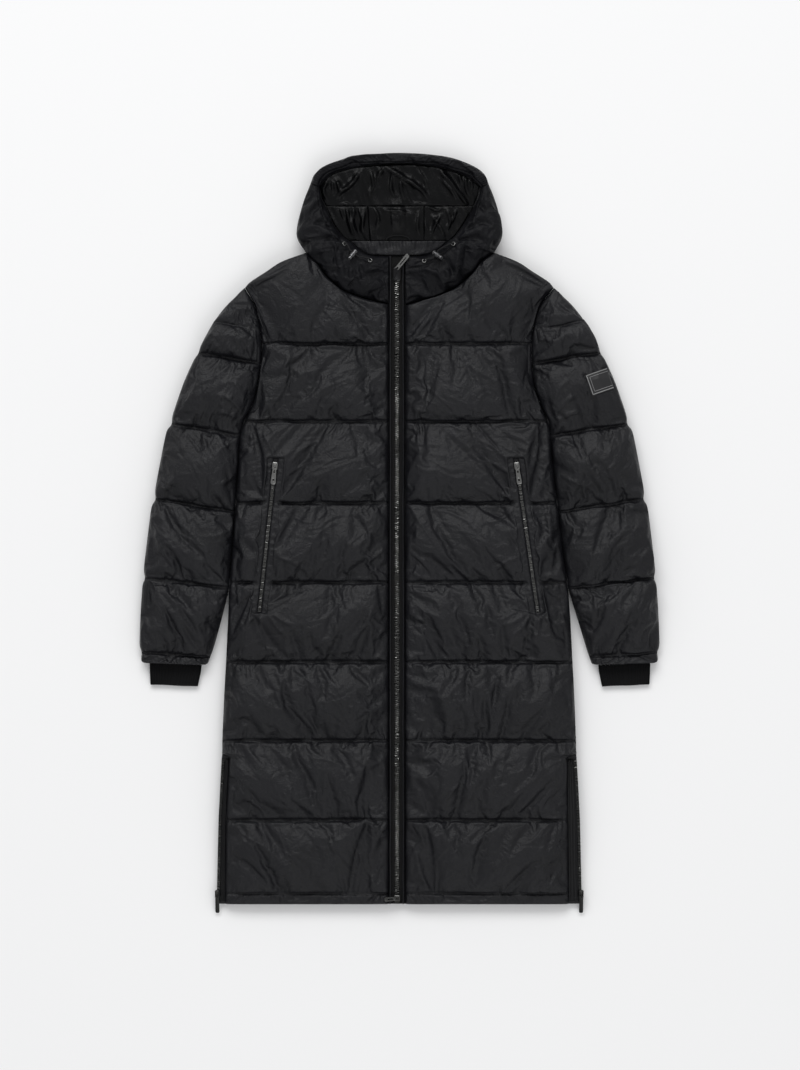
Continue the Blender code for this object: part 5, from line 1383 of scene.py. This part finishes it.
def model_tooth(width, length, height):
    """A moulded tooth: a head with a waist behind it, rising from the tape at its left."""
    item = start_from("cube", "tooth", size=1.0, location=(width * 0.14, 0, height / 2),
                      scale=(width * 0.72, length, height))
    pick(item, "FACE", lambda f: f.normal.x < -0.9)
    bpy.ops.mesh.extrude_region_move(TRANSFORM_OT_translate={"value": (-width * 0.28, 0, 0)})
    bpy.ops.transform.resize(value=(1, 0.62, 0.8), center_override=(0, 0, 0))
    pick(item, "FACE", lambda f: f.normal.z > 0.9 and f.calc_center_median().x > 0)
    bpy.ops.mesh.inset(thickness=length * 0.22, depth=height * 0.16)
    leave_edit()
    return item


TOOTH_PITCH, VENT_PITCH_SHARE, COIL_PITCH, TOOTH_TILT = 0.0034, 0.8, 0.0021, 0.17
TOOTH, COIL = (0.0044, 0.0014, CHAIN_HEIGHT * 0.86), (0.0050, 0.0012, 0.0019)
TEETH_APART, VENT_TEETH_IN, COIL_TOP_Y = 0.0016, 0.0027, 0.1070


def make_chains():
    rng = np.random.default_rng(771)
    tooth = model_tooth(*TOOTH)
    places, y = [], CHAIN_Y[0] + 0.001
    while y < CHAIN_Y[1] - 0.001:
        for way, shift in ((1, 0.0), (-1, TOOTH_PITCH / 2)):
            at = y + shift
            slope = layer_slope(at)
            lean, tip = rng.normal(0, TOOTH_TILT, 2)
            tip += way * 0.36 * float(ripple(np.array(at), np.array(0.0), 772, 0.11))
            places.append(((ZIP_X - way * TEETH_APART, at, float(layer_height(at)) + ZIP_LIFT),
                           (way, 0, lean), (0, way, way * slope + tip)))
        y += TOOTH_PITCH
    copies("main_zip_teeth", tooth, places, "teeth_dark", ("main_zip_chain",))
    for side in SIDES:
        sign, places, table = SIDES[side], [], edge_table(side, VENT_EDGE)
        y = HEM_Y + VENT_CHAIN_UP + 0.0008
        while y < VENT_TOP_Y - 0.0008:
            edge = float(np.interp(y, table[:, 0], table[:, 1]))
            slope = layer_slope(y)
            lean, tip = rng.normal(0, TOOTH_TILT, 2)
            places.append(((edge - sign * VENT_TEETH_IN, y, float(layer_height(y)) + GAP),
                           (sign, 0, lean), (0, sign, sign * slope + tip)))
            y += TOOTH_PITCH * VENT_PITCH_SHARE
        copies(f"vent_teeth_{side}", tooth, places, "vent_teeth",
               (f"vent_chain_{side}",))
    drop(tooth)
    coil = model_tooth(*COIL)
    for side in SIDES:
        read, places = top_of(f"pocket_chain_{side}"), []
        low, high = POCKET_END_Y + 0.001, COIL_TOP_Y
        (y_a, x_a), (y_b, x_b) = POCKET_LINE[side]
        lean = (x_b - x_a) / (y_b - y_a)
        y = low
        while y < high:
            z = read(float(pocket_x(side, y)), y) - 0.0019
            flip = 1 if len(places) % 2 else -1
            roll, tip = rng.normal(0, TOOTH_TILT, 2)
            places.append(((float(pocket_x(side, y)), y, z), (flip, -flip * lean, roll),
                           (flip * lean, flip, tip)))
            y += COIL_PITCH
        copies(f"pocket_coil_{side}", coil, places, "teeth_dark",
               (f"pocket_chain_{side}",))
    drop(coil)


class COAT_OT_zip_tapes(bpy.types.Operator):
    """Makes the zip tapes, the rolled folds beside the main zip and the pocket welts"""
    bl_idname = "coat.zip_tapes"
    bl_label = "Tapes, folds and welts"

    def execute(self, context):
        make_main_tape()
        for side in SIDES:
            make_vent_tape(side)
            make_welt(side)
        return {"FINISHED"}


class COAT_OT_zip_teeth(bpy.types.Operator):
    """Makes the teeth of the main and vent zips and the coils of the pocket zips"""
    bl_idname = "coat.zip_teeth"
    bl_label = "Zip teeth"

    def execute(self, context):
        make_chains()
        return {"FINISHED"}


# ---------------------------------------------------------------- sliders, pulls and cord locks
LUG_SIDE, LUG_HEIGHT = 0.0018, 0.0026
FORK_SLOT, FORK_CHEEK, FORK_DEPTH = 0.0034, 0.0015, 0.0024
PULL_THICK, PULL_HEEL, PULL_NECK, TIP_CUT = 0.0016, 0.0011, 0.0040, 0.0030
QUARTER = math.pi / 2
BEVEL_FROM, SMOOTH_UP_TO = 0.55, 0.7         # angles between faces
POCKET_SLOTS = ((0.0060, 0.0105, 0.0022), (0.0205, 0.0245, 0.0030))
# node: size, lug ahead of the middle, lug's turn, place, turn about x, y and z, material
SLIDERS = {
    "main_zip_slider": ((0.0130, 0.0225, 0.0065), 0.0095, -0.6981, (-0.0042, 0.4406, 0.0241),
                        (0, 0, 0), "gunmetal"),
    "main_zip_lower_slider": ((0.0105, 0.0105, 0.0070), 0.0, 1.6307, (-0.0042, -0.62, 0.01237),
                              (0.0902, 0, 0), "tarnished"),
    "pocket_slider_right": ((0.0090, 0.0125, 0.0045), -0.0015, 0.0, (-0.21105, 0.1145, 0.0407),
                            (0, 0, -0.1069), "nickel"),
    "pocket_slider_left": ((0.0090, 0.0125, 0.0045), -0.0015, 0.0, (0.1990, 0.1145, 0.0407),
                           (0, 0, 0.1420), "nickel"),
    "vent_slider_right": ((0.0078, 0.0125, 0.0062), -0.0030, 0.0, (-0.31032, -0.6132, 0.01118),
                          (0.0902, 0, 0), "steel"),
    "vent_slider_left": ((0.0078, 0.0125, 0.0062), -0.0030, 0.0, (0.30943, -0.6132, 0.01118),
                         (0.0902, 0, 0), "steel"),
}
# node: body, length, width at the tip, place, turns, slots as (from, to, width), material
PULLS = {
    "main_zip_pull": ("main_pull", 0.0300, 0.0072, (-0.0042, 0.4501, 0.0323),
                      (0.1745, 0, -0.6981), ((0.0075, 0.0240, 0.0016),), "nickel"),
    "main_zip_lower_pull": ("lower_pull", 0.0220, 0.0072, (-0.0042, -0.62078, 0.02103),
                            (0.1571, 0, 1.6307), ((0.0070, 0.0160, 0.0024),), "tarnished"),
    "pocket_pull_right": ("pocket_pull_r", 0.0300, 0.0088, (-0.21121, 0.11301, 0.0469),
                          (-0.0873, 0, 3.0347), POCKET_SLOTS, "nickel"),
    "pocket_pull_left": ("pocket_pull_l", 0.0300, 0.0088, (0.19921, 0.11302, 0.0469),
                         (-0.0873, 0, 3.2835), POCKET_SLOTS, "nickel"),
    "vent_pull_right": ("vent_pull_r", 0.0329, 0.0072, (-0.31032, -0.6169, 0.01878),
                        (-0.4538, 0, 3.1416), (), "steel"),
    "vent_pull_left": ("vent_pull_l", 0.0329, 0.0072, (0.30943, -0.6169, 0.01878),
                       (-0.4538, 0, 3.1416), (), "steel"),
}


def select_only(item):
    bpy.ops.object.select_all(action="DESELECT")
    item.select_set(True)
    bpy.context.view_layer.objects.active = item


def put_in_place(item, place, turns):
    select_only(item)
    item.matrix_world = Matrix.Translation(place) @ Euler(turns).to_matrix().to_4x4()
    bpy.ops.object.transform_apply(location=True, rotation=True, scale=True)


def smooth_edges(item, width):
    modify(item, "BEVEL", width=width, segments=2, limit_method="ANGLE", angle_limit=BEVEL_FROM)
    select_only(item)
    bpy.ops.object.shade_smooth_by_angle(angle=SMOOTH_UP_TO)


def model_slider(name, size, ahead, swing):
    width, length, height = size
    crown_up = 0.18 * height
    item = start_from("cube", name, size=1.0, location=(0, 0, (height - crown_up) / 2),
                      scale=(width, length, height - crown_up))
    pick(item, "EDGE", lambda e: abs(e.verts[0].co.z - e.verts[1].co.z) > height / 2)
    bpy.ops.mesh.bevel(offset=width * 0.22, segments=4, affect="EDGES")
    pick(item, "FACE", lambda f: f.normal.z > 0.9)
    bpy.ops.mesh.inset(thickness=width * 0.14, depth=crown_up)
    bpy.ops.mesh.inset(thickness=width * 0.10, depth=-0.0004)
    pick(item, "FACE", lambda f: abs(f.normal.x) > 0.98)
    bpy.ops.mesh.inset(thickness=height * 0.24, depth=-width * 0.07, use_individual=True)
    pick(item, "FACE", lambda f: abs(f.normal.y) > 0.98)
    bpy.ops.mesh.inset(thickness=height * 0.22, depth=-length * 0.10, use_individual=True)
    leave_edit()
    lug = start_from("cube", name + "_lug", size=1.0, rotation=(0, 0, swing),
                     location=(0, ahead, height + LUG_HEIGHT / 2 - 0.0005),
                     scale=(LUG_SIDE, LUG_SIDE, LUG_HEIGHT + 0.0010))
    axis = Vector((math.cos(swing), math.sin(swing), 0))
    pick(lug, "EDGE", lambda e: min(v.co.z for v in e.verts) > height + 0.001 and
         abs((e.verts[1].co - e.verts[0].co).normalized().dot(axis)) > 0.9)
    bpy.ops.mesh.bevel(offset=LUG_SIDE * 0.47, segments=5, affect="EDGES")
    leave_edit()
    item.select_set(True)
    lug.select_set(True)
    bpy.context.view_layer.objects.active = item
    bpy.ops.object.join()
    smooth_edges(item, 0.00022)
    return item


def take_out(item, tool):
    """Cuts a tool's shape out of a piece and drops the tool."""
    modify(item, "BOOLEAN", operation="DIFFERENCE", solver="EXACT", object=tool)
    drop(tool)


def cut_out(item, low, high, corner=0.0):
    """Cuts a hole between two corners out of a piece, its upright corners rounded."""
    middle = [(a + b) / 2 for a, b in zip(low, high)]
    tool = start_from("cube", "cutter", size=1.0, location=middle,
                      scale=[b - a for a, b in zip(low, high)])
    if corner:
        pick(tool, "EDGE", lambda e: abs(e.verts[0].co.z - e.verts[1].co.z) > 0.001)
        bpy.ops.mesh.bevel(offset=corner, segments=4, affect="EDGES")
        leave_edit()
    take_out(item, tool)


def model_pull(name, length, tip, slots):
    root = FORK_SLOT + 2 * FORK_CHEEK
    item = start_from("cube", name, size=1.0, location=(0, (PULL_NECK - PULL_HEEL) / 2, 0),
                      scale=(root, PULL_NECK + PULL_HEEL, PULL_THICK))
    pick(item, "FACE", lambda f: f.normal.y > 0.9)
    for ahead, share in ((length - TIP_CUT - PULL_NECK, tip / root), (TIP_CUT * 0.6, 0.88),
                         (TIP_CUT * 0.4, 0.70)):
        bpy.ops.mesh.extrude_region_move(TRANSFORM_OT_translate={"value": (0, ahead, 0)})
        bpy.ops.transform.resize(value=(share, 1, 1), center_override=(0, 0, 0))
    leave_edit()
    over = PULL_THICK
    cut_out(item, (-FORK_SLOT / 2, -2 * PULL_HEEL, -over), (FORK_SLOT / 2, FORK_DEPTH, over))
    for start, end, width in slots:
        cut_out(item, (-width / 2, start, -over), (width / 2, end, over), width * 0.42)
    smooth_edges(item, 0.00028)
    return item


# frame of each cord lock: origin, way along it, way across it
LOCK_FRAMES = {
    "right": ((-0.07805, 0.4732, 0.0519), (-0.5966, -0.7506, 0.2839), (0.7227, -0.3488, 0.5966)),
    "left": ((0.06283, 0.47217, 0.0485), (0.7065, -0.5456, 0.4507), (0.6559, 0.2657, -0.7065)),
}
LOCK_RADIUS, LOCK_LENGTH, LOCK_GROOVES = 0.0045, 0.0130, (-0.0047, 0.0012, 0.0036)
CORD_HOLE_BACK, CORD_HOLE = 0.0020, (0.0016, 0.02)         # the hole's radius and cutter length
BUTTON_BORE = (0.0037, 0.0068)
BUTTON_ENDS = (0.0030, 0.0120)
# place and normal of each eyelet
EYELET_FRAMES = {
    "right_upper": ((-0.09323, 0.49072, 0.04675), (0.458, 0.3673, 0.8095)),
    "right_lower": ((-0.04992, 0.46281, 0.04368), (0.1319, 0.5109, 0.8495)),
    "left_upper": ((0.09124, 0.49022, 0.0468), (-0.4393, 0.3748, 0.8164)),
    "left_lower": ((0.04186, 0.46177, 0.04366), (-0.231, 0.4446, 0.8654)),
}


def lay_along(item, origin, way, across):
    """Puts a piece at a frame given by its origin, its z way and its x way."""
    way_z, way_x = Vector(way).normalized(), Vector(across)
    way_x = (way_x - way_z * way_x.dot(way_z)).normalized()
    turned = Matrix((way_x, way_z.cross(way_x), way_z)).transposed()
    put_in_place(item, origin, turned.to_euler())


def round_cutter(item, radius, depth, location, rotation=(0, 0, 0)):
    tool = start_from("cylinder", "cutter", vertices=32, radius=radius, depth=depth,
                      location=location, rotation=rotation)
    take_out(item, tool)


def make_lock(side):
    end = LOCK_LENGTH / 2
    body = start_from("cylinder", f"cord_lock_{side}_body", vertices=40, radius=LOCK_RADIUS,
                      depth=LOCK_LENGTH)
    pick(body, "FACE", lambda f: abs(f.normal.z) > 0.9)
    bpy.ops.mesh.inset(thickness=0.0009, depth=0.0, use_individual=True)
    leave_edit()
    for z in LOCK_GROOVES:
        ring = start_from("torus", "groove", major_radius=LOCK_RADIUS + 0.0001,
                          minor_radius=0.00042, major_segments=40, minor_segments=8,
                          location=(0, 0, z))
        take_out(body, ring)
    bore, deep = BUTTON_BORE
    round_cutter(body, bore, deep * 2, (0, 0, end))
    for turns in ((0, QUARTER, 0), (QUARTER, 0, 0)):
        round_cutter(body, *CORD_HOLE, (0, 0, -CORD_HOLE_BACK), turns)
    smooth_edges(body, 0.00030)
    low, high = BUTTON_ENDS
    button = start_from("cylinder", f"lock_button_{side}_cap", vertices=36, radius=bore - GAP,
                        depth=high - low, location=(0, 0, (low + high) / 2))
    pick(button, "FACE", lambda f: f.normal.z > 0.9)
    bpy.ops.mesh.inset(thickness=0.0010, depth=0.0)
    bpy.ops.mesh.inset(thickness=0.0004, depth=-0.0005)
    leave_edit()
    smooth_edges(button, 0.00040)
    origin, way, across = LOCK_FRAMES[side]
    for item, body_name, node in ((body, "coat", f"cord_lock_{side}"),
                                  (button, f"button_{side[0]}", f"lock_button_{side}")):
        lay_along(item, origin, way, across)
        finish_piece(item, "lock_plastic", body_name, (node,))


def make_eyelet(label):
    """Pressed metal ring: its inner rim is drawn down into the cloth."""
    item = start_from("torus", f"eyelet_{label}_ring", major_radius=0.0031, minor_radius=0.0009,
                      major_segments=36, minor_segments=12, location=(0, 0, 0.0003))
    pick(item, "VERT", lambda v: v.co.xy.length < 0.0027 and v.co.z < 0.0006)
    bpy.ops.transform.translate(value=(0, 0, -0.0008))
    pick(item, "VERT", lambda v: v.co.xy.length > 0.0034 and v.co.z < 0.0003)
    bpy.ops.transform.resize(value=(1.02, 1.02, 0.6), center_override=(0, 0, 0))
    leave_edit()
    bpy.ops.object.shade_smooth()
    place, normal = EYELET_FRAMES[label]
    lay_along(item, place, normal, (1, 0, 0))
    finish_piece(item, "nickel", "coat", (f"eyelet_{label}",))


def make_box():
    """The box at the foot of the main zip, its edges rounded and its top sunk."""
    low, high = (Vector(corner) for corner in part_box("main_zip_box"))
    item = start_from("cube", "main_zip_box_body", size=1.0, location=(low + high) / 2,
                      scale=high - low)
    pick(item, "FACE", lambda f: f.normal.z > 0.9)
    bpy.ops.mesh.inset(thickness=0.0008, depth=-0.0006)
    leave_edit()
    smooth_edges(item, 0.00040)
    finish_piece(item, "steel", "coat", ("main_zip_box",))


class COAT_OT_hardware(bpy.types.Operator):
    """Models the sliders, their pulls, the eyelets and the cord locks"""
    bl_idname = "coat.hardware"
    bl_label = "Sliders, pulls and cord locks"

    def execute(self, context):
        for node, (size, ahead, swing, place, turns, material) in SLIDERS.items():
            item = model_slider(node + "_body", size, ahead, swing)
            put_in_place(item, place, turns)
            finish_piece(item, material, "coat", (node,))
        for node, (body, length, tip, place, turns, slots, material) in PULLS.items():
            item = model_pull(node + "_tab", length, tip, slots)
            put_in_place(item, place, turns)
            finish_piece(item, material, body, (node,))
        for side in SIDES:
            make_lock(side)
        for label in EYELET_FRAMES:
            make_eyelet(label)
        make_box()
        return {"FINISHED"}


# ---------------------------------------------------------------- badge
PATCH = ((0.3136, 0.2681), (0.3261, 0.2322), (0.3638, 0.2456), (0.3513, 0.2815))


def patch_place(u, v):
    a, b, c, d = (np.array(p) for p in PATCH)
    return (a * (1 - u) + d * u) * v + (b * (1 - u) + c * u) * (1 - v)


class COAT_OT_badge(bpy.types.Operator):
    """Makes the moulded badge on the wearer's left sleeve, bare inside two border lines"""
    bl_idname = "coat.badge"
    bl_label = "Sleeve badge"

    def execute(self, context):
        read = top_of("sleeve_patch")

        def surface(u, v):
            x, y = patch_place(u, v)
            x_in, y_in = patch_place(min(max(u, 0.01), 0.99), min(max(v, 0.01), 0.99))
            return (x, y, read(x_in, y_in))

        us, vs = np.linspace(0, 1, 37), np.linspace(0, 1, 41)
        sheet = np.array([[surface(u, v) for u in us] for v in vs])
        rim = np.minimum(np.minimum(us, 1 - us)[None], np.minimum(vs, 1 - vs)[:, None])
        grain = 0.00005 * ripple(sheet[..., 0], sheet[..., 1], 801, 0.002)
        sheet[..., 2] += grain - 0.0007 * (1 - crown(rim, 0.05))
        floor = sheet[..., 2] - 0.0019
        closed_panel("sleeve_badge", sheet, floor, "patch_rubber",
                     "sleeve_patch")
        for number, (inset, radius) in enumerate(((0.055, 0.00080), (0.165, 0.00042))):
            corners = [(0.985, inset), (inset, inset), (inset, 1 - inset), (0.985, 1 - inset)]
            line = [surface(*point) for point in along(np.array(corners), np.linspace(0, 1, 97))]
            line = np.array(line) + (0, 0, 0.0001)
            round_tube(f"badge_line_{number + 1}", line, radius, "badge_line", 8)
        return {"FINISHED"}


# ---------------------------------------------------------------- materials
MATERIALS = {}


def new_group(name, inputs, outputs):
    group = bpy.data.node_groups.new(name, "ShaderNodeTree")
    for label, kind, value in inputs:
        group.interface.new_socket(name=label, in_out="INPUT",
                                   socket_type=kind).default_value = value
    for label, kind in outputs:
        group.interface.new_socket(name=label, in_out="OUTPUT", socket_type=kind)
    return group, group.nodes.new("NodeGroupInput"), group.nodes.new("NodeGroupOutput")


def feed(tree, socket, value):
    """Sets a socket to a number, or links it to another node's output."""
    if isinstance(value, (int, float)):
        socket.default_value = value
    else:
        tree.links.new(value, socket)


def math_node(tree, operation, *values):
    node = tree.nodes.new("ShaderNodeMath")
    node.operation = operation
    for socket, value in zip(node.inputs, values):
        feed(tree, socket, value)
    return node.outputs[0]


def noise_node(tree, vector, scale, detail=3.0, roughness=0.5):
    node = tree.nodes.new("ShaderNodeTexNoise")
    node.inputs["Detail"].default_value = detail
    node.inputs["Roughness"].default_value = roughness
    tree.links.new(vector, node.inputs["Vector"])
    feed(tree, node.inputs["Scale"], scale)
    return node.outputs["Fac"]


def cloth_relief_group():
    """Height of fine crinkles and of the weave, in metres."""
    value = "NodeSocketFloat"
    group, start, end = new_group("cloth_relief", (
        ("Crinkle Scale", value, 90.0), ("Crinkle Height", value, 0.0006),
        ("Thread Pitch", value, 0.0006), ("Thread Height", value, 0.00004),
        ("Wrinkle Scale", value, 45.0), ("Wrinkle Height", value, 0.0)), (("Height", value),))
    place = group.nodes.new("ShaderNodeTexCoord").outputs["Object"]

    def ridges(noise, height):
        """Creases where a noise passes its middle."""
        away = math_node(group, "ABSOLUTE", math_node(group, "SUBTRACT", noise, 0.5))
        return math_node(group, "MULTIPLY", away, start.outputs[height])

    crinkle = ridges(noise_node(group, place, start.outputs["Crinkle Scale"], 4.0, 0.55),
                     "Crinkle Height")
    split = group.nodes.new("ShaderNodeSeparateXYZ")
    group.links.new(place, split.inputs[0])
    turn = math_node(group, "DIVIDE", math.tau, start.outputs["Thread Pitch"])
    warp = math_node(group, "SINE", math_node(group, "MULTIPLY", split.outputs["X"], turn))
    weft = math_node(group, "SINE", math_node(group, "MULTIPLY", split.outputs["Y"], turn))
    weave = math_node(group, "MULTIPLY", math_node(group, "MULTIPLY", warp, weft),
                      start.outputs["Thread Height"])
    wide = noise_node(group, place, start.outputs["Wrinkle Scale"], 2.5, 0.6)
    wide.node.inputs["Distortion"].default_value = 0.9
    fine = math_node(group, "ADD", crinkle, weave)
    group.links.new(math_node(group, "ADD", fine, ridges(wide, "Wrinkle Height")),
                    end.inputs["Height"])


def uneven_colour_group():
    """A colour with slow light and dark patches, and a roughness that goes with them."""
    value = "NodeSocketFloat"
    group, start, end = new_group("uneven_colour", (
        ("Colour", "NodeSocketColor", (0.1, 0.1, 0.1, 1)), ("Spread", value, 0.2),
        ("Patch Scale", value, 14.0), ("Roughness", value, 0.5)),
        (("Colour", "NodeSocketColor"), ("Roughness", value)))
    place = group.nodes.new("ShaderNodeTexCoord").outputs["Object"]
    patch = noise_node(group, place, start.outputs["Patch Scale"])
    patch = math_node(group, "SUBTRACT", patch, 0.5)
    swing = math_node(group, "MULTIPLY", patch, start.outputs["Spread"])
    level = math_node(group, "ADD", math_node(group, "MULTIPLY", swing, 2.0), 1.0)
    shade = group.nodes.new("ShaderNodeVectorMath")
    shade.operation = "SCALE"
    group.links.new(start.outputs["Colour"], shade.inputs[0])
    group.links.new(level, shade.inputs["Scale"])
    group.links.new(shade.outputs[0], end.inputs["Colour"])
    group.links.new(math_node(group, "SUBTRACT", start.outputs["Roughness"],
                              math_node(group, "MULTIPLY", swing, 0.35)), end.inputs["Roughness"])


def make_material(name, colour, roughness, spread, metallic, specular, relief):
    """Principled material with uneven colour and, where given, cloth relief: the values of the
    cloth_relief group's inputs, in their order."""
    material = bpy.data.materials.new(name)
    material.use_nodes = True
    tree = material.node_tree
    shader = tree.nodes["Principled BSDF"]
    shader.inputs["Metallic"].default_value = metallic
    shader.inputs["Specular IOR Level"].default_value = specular
    tone = tree.nodes.new("ShaderNodeGroup")
    tone.node_tree = bpy.data.node_groups["uneven_colour"]
    tone.inputs["Colour"].default_value = (*colour, 1)
    tone.inputs["Spread"].default_value = spread
    tone.inputs["Roughness"].default_value = roughness
    tree.links.new(tone.outputs["Colour"], shader.inputs["Base Color"])
    tree.links.new(tone.outputs["Roughness"], shader.inputs["Roughness"])
    if relief:
        cloth = tree.nodes.new("ShaderNodeGroup")
        cloth.node_tree = bpy.data.node_groups["cloth_relief"]
        for socket, value in zip(cloth.inputs, relief):
            socket.default_value = value
        bump_node = tree.nodes.new("ShaderNodeBump")
        bump_node.inputs["Distance"].default_value = 1.0
        tree.links.new(cloth.outputs["Height"], bump_node.inputs["Height"])
        tree.links.new(bump_node.outputs["Normal"], shader.inputs["Normal"])
    MATERIALS[name] = material

NYLON_RELIEF = (190.0, 0.0013, 0.0007, 0.00003, 85.0, 0.0018)
RUBBER_RELIEF = (300.0, 0.0003, 0.0008, 0.00001)
# name: colour or its setting, share of it, roughness, unevenness, metallic, specular, relief
MATERIAL_VALUES = {
    "nylon_black": ("nylon", 1.0, 0.42, 0.35, 0.0, 0.25, NYLON_RELIEF),
    "hood_black": ("nylon", 0.8, 0.47, 0.35, 0.0, 0.12, NYLON_RELIEF),
    "lining_black": ("lining", 1.0, 0.25, 0.35, 0.0, 0.13, (160.0, 0.0007, 0.0005, 0.00002)),
    "rib_black": ("rib", 1.0, 0.90, 0.25, 0.0, 0.10, (260.0, 0.0008, 0.0011, 0.00008)),
    "tape_black": ("tape", 1.0, 0.80, 0.25, 0.0, 0.15, (220.0, 0.0006, 0.0008, 0.00010)),
    "vent_facing": ("nylon", 0.4, 0.36, 0.30, 0.0, 0.24, (220.0, 0.0005, 0.0008, 0.00006)),
    "teeth_dark": ("teeth", 1.0, 0.22, 0.60, 1.0, 0.5, None),
    "vent_teeth": ("teeth", 0.55, 0.26, 0.60, 1.0, 0.5, None),
    "gunmetal": ("dark_metal", 1.0, 0.32, 0.20, 1.0, 0.5, None),
    "nickel": ("metal", 1.0, 0.28, 0.15, 1.0, 0.5, None),
    "steel": ("worn_metal", 1.0, 0.30, 0.30, 1.0, 0.5, None),
    "tarnished": ("worn_metal", 2.2, 0.28, 0.40, 1.0, 0.5, None),
    "lock_plastic": ((0.085, 0.085, 0.088), 1.0, 0.24, 0.30, 0.8, 0.5, None),
    "elastic_black": ((0.010, 0.010, 0.011), 1.0, 0.80, 0.30, 0.0, 0.25,
                      (600.0, 0.0006, 0.0009, 0.00015)),
    "patch_rubber": ((0.010, 0.010, 0.011), 1.0, 0.55, 0.20, 0.0, 0.35, RUBBER_RELIEF),
    "badge_line": ((0.20, 0.20, 0.20), 1.0, 0.5, 0.3, 0.0, 0.5, RUBBER_RELIEF),
}


class COAT_OT_materials(bpy.types.Operator):
    """Makes the coat's cloths, metals and plastics, and puts them on the solids"""
    bl_idname = "coat.materials"
    bl_label = "Materials"

    def execute(self, context):
        cloth_relief_group()
        uneven_colour_group()
        for name, (colour, share, *values) in MATERIAL_VALUES.items():
            if isinstance(colour, str):
                colour = getattr(context.scene.coat_colours, colour)
            make_material(name, [share * c for c in colour], *values)
        for node, item in frame["nodes"].items():
            item.data.materials.clear()
            item.data.materials.append(MATERIALS[SLOTS[node]])
        return {"FINISHED"}


# ---------------------------------------------------------------- stage
def area_light(name, size, power, place):
    """A soft light that points at the coat's middle."""
    data = bpy.data.lights.new(name, "AREA")
    data.shape, data.size, data.size_y = "RECTANGLE", *size
    data.energy = power
    item = add_object(name, data)
    item.location = place
    item.rotation_euler = (-Vector(place)).to_track_quat("-Z", "Y").to_euler()


class COAT_OT_stage(bpy.types.Operator):
    """Lays the pale floor and sets up the soft light and the camera overhead"""
    bl_idname = "coat.stage"
    bl_label = "Floor, light and camera"

    def execute(self, context):
        scene = context.scene
        use = scene.coat_stage
        bpy.ops.object.select_all(action="DESELECT")
        bpy.ops.mesh.primitive_plane_add(size=14.0, location=(0, 0, -0.0004))
        floor = context.object
        floor.name = "pale_floor"
        paper = bpy.data.materials.new("pale_floor")
        paper.use_nodes = True
        shader = paper.node_tree.nodes["Principled BSDF"]
        shader.inputs["Base Color"].default_value = (*use.floor, 1)
        shader.inputs["Roughness"].default_value = 0.9
        shader.inputs["Specular IOR Level"].default_value = 0.1
        floor.data.materials.append(paper)
        area_light("key_softbox", (8.4, 4.4), 560.0, (-1.2, 7.0, 6.6))
        area_light("fill_softbox", (6.0, 6.0), 150.0, (2.4, -6.4, 7.8))
        world = bpy.data.worlds.new("studio")
        world.use_nodes = True
        world.node_tree.nodes["Background"].inputs["Color"].default_value = (0.985, 0.99, 1.0, 1)
        world.node_tree.nodes["Background"].inputs["Strength"].default_value = 0.62
        scene.world = world
        scene.view_settings.view_transform = "Standard"
        data = bpy.data.cameras.new("overhead_camera")
        camera = add_object("overhead_camera", data)
        camera.location = (0.00085, -0.00255, use.distance)
        data.sensor_width = 36.0
        data.lens = data.sensor_width * (use.distance - LAYER) / use.view_height
        data.clip_end = 50.0
        scene.camera = camera
        return {"FINISHED"}


class COAT_PT_panel(bpy.types.Panel):
    bl_idname = "COAT_PT_panel"
    bl_label = "Long puffer coat"
    bl_space_type = "VIEW_3D"
    bl_region_type = "UI"
    bl_category = "Coat"

    def draw(self, context):
        for step in STEPS:
            self.layout.operator(step.bl_idname)


STEPS = (COAT_OT_stage, COAT_OT_materials, COAT_OT_drawcords, COAT_OT_padding, COAT_OT_lining,
         COAT_OT_zip_tapes, COAT_OT_zip_teeth, COAT_OT_hardware, COAT_OT_badge)
GROUPS = (CoatCloth, CoatColours, CoatStage)


def register():
    for item in (*GROUPS, *STEPS, COAT_PT_panel):
        bpy.utils.register_class(item)
    bpy.types.Scene.coat_cloth = PointerProperty(type=CoatCloth)
    bpy.types.Scene.coat_colours = PointerProperty(type=CoatColours)
    bpy.types.Scene.coat_stage = PointerProperty(type=CoatStage)


def unregister():
    del bpy.types.Scene.coat_stage, bpy.types.Scene.coat_colours, bpy.types.Scene.coat_cloth
    for item in reversed((*GROUPS, *STEPS, COAT_PT_panel)):
        bpy.utils.unregister_class(item)


def main():
    register()
    for step in STEPS:
        family, action = step.bl_idname.split(".")
        getattr(getattr(bpy.ops, family), action)()


if __name__ == "__main__":
    main()
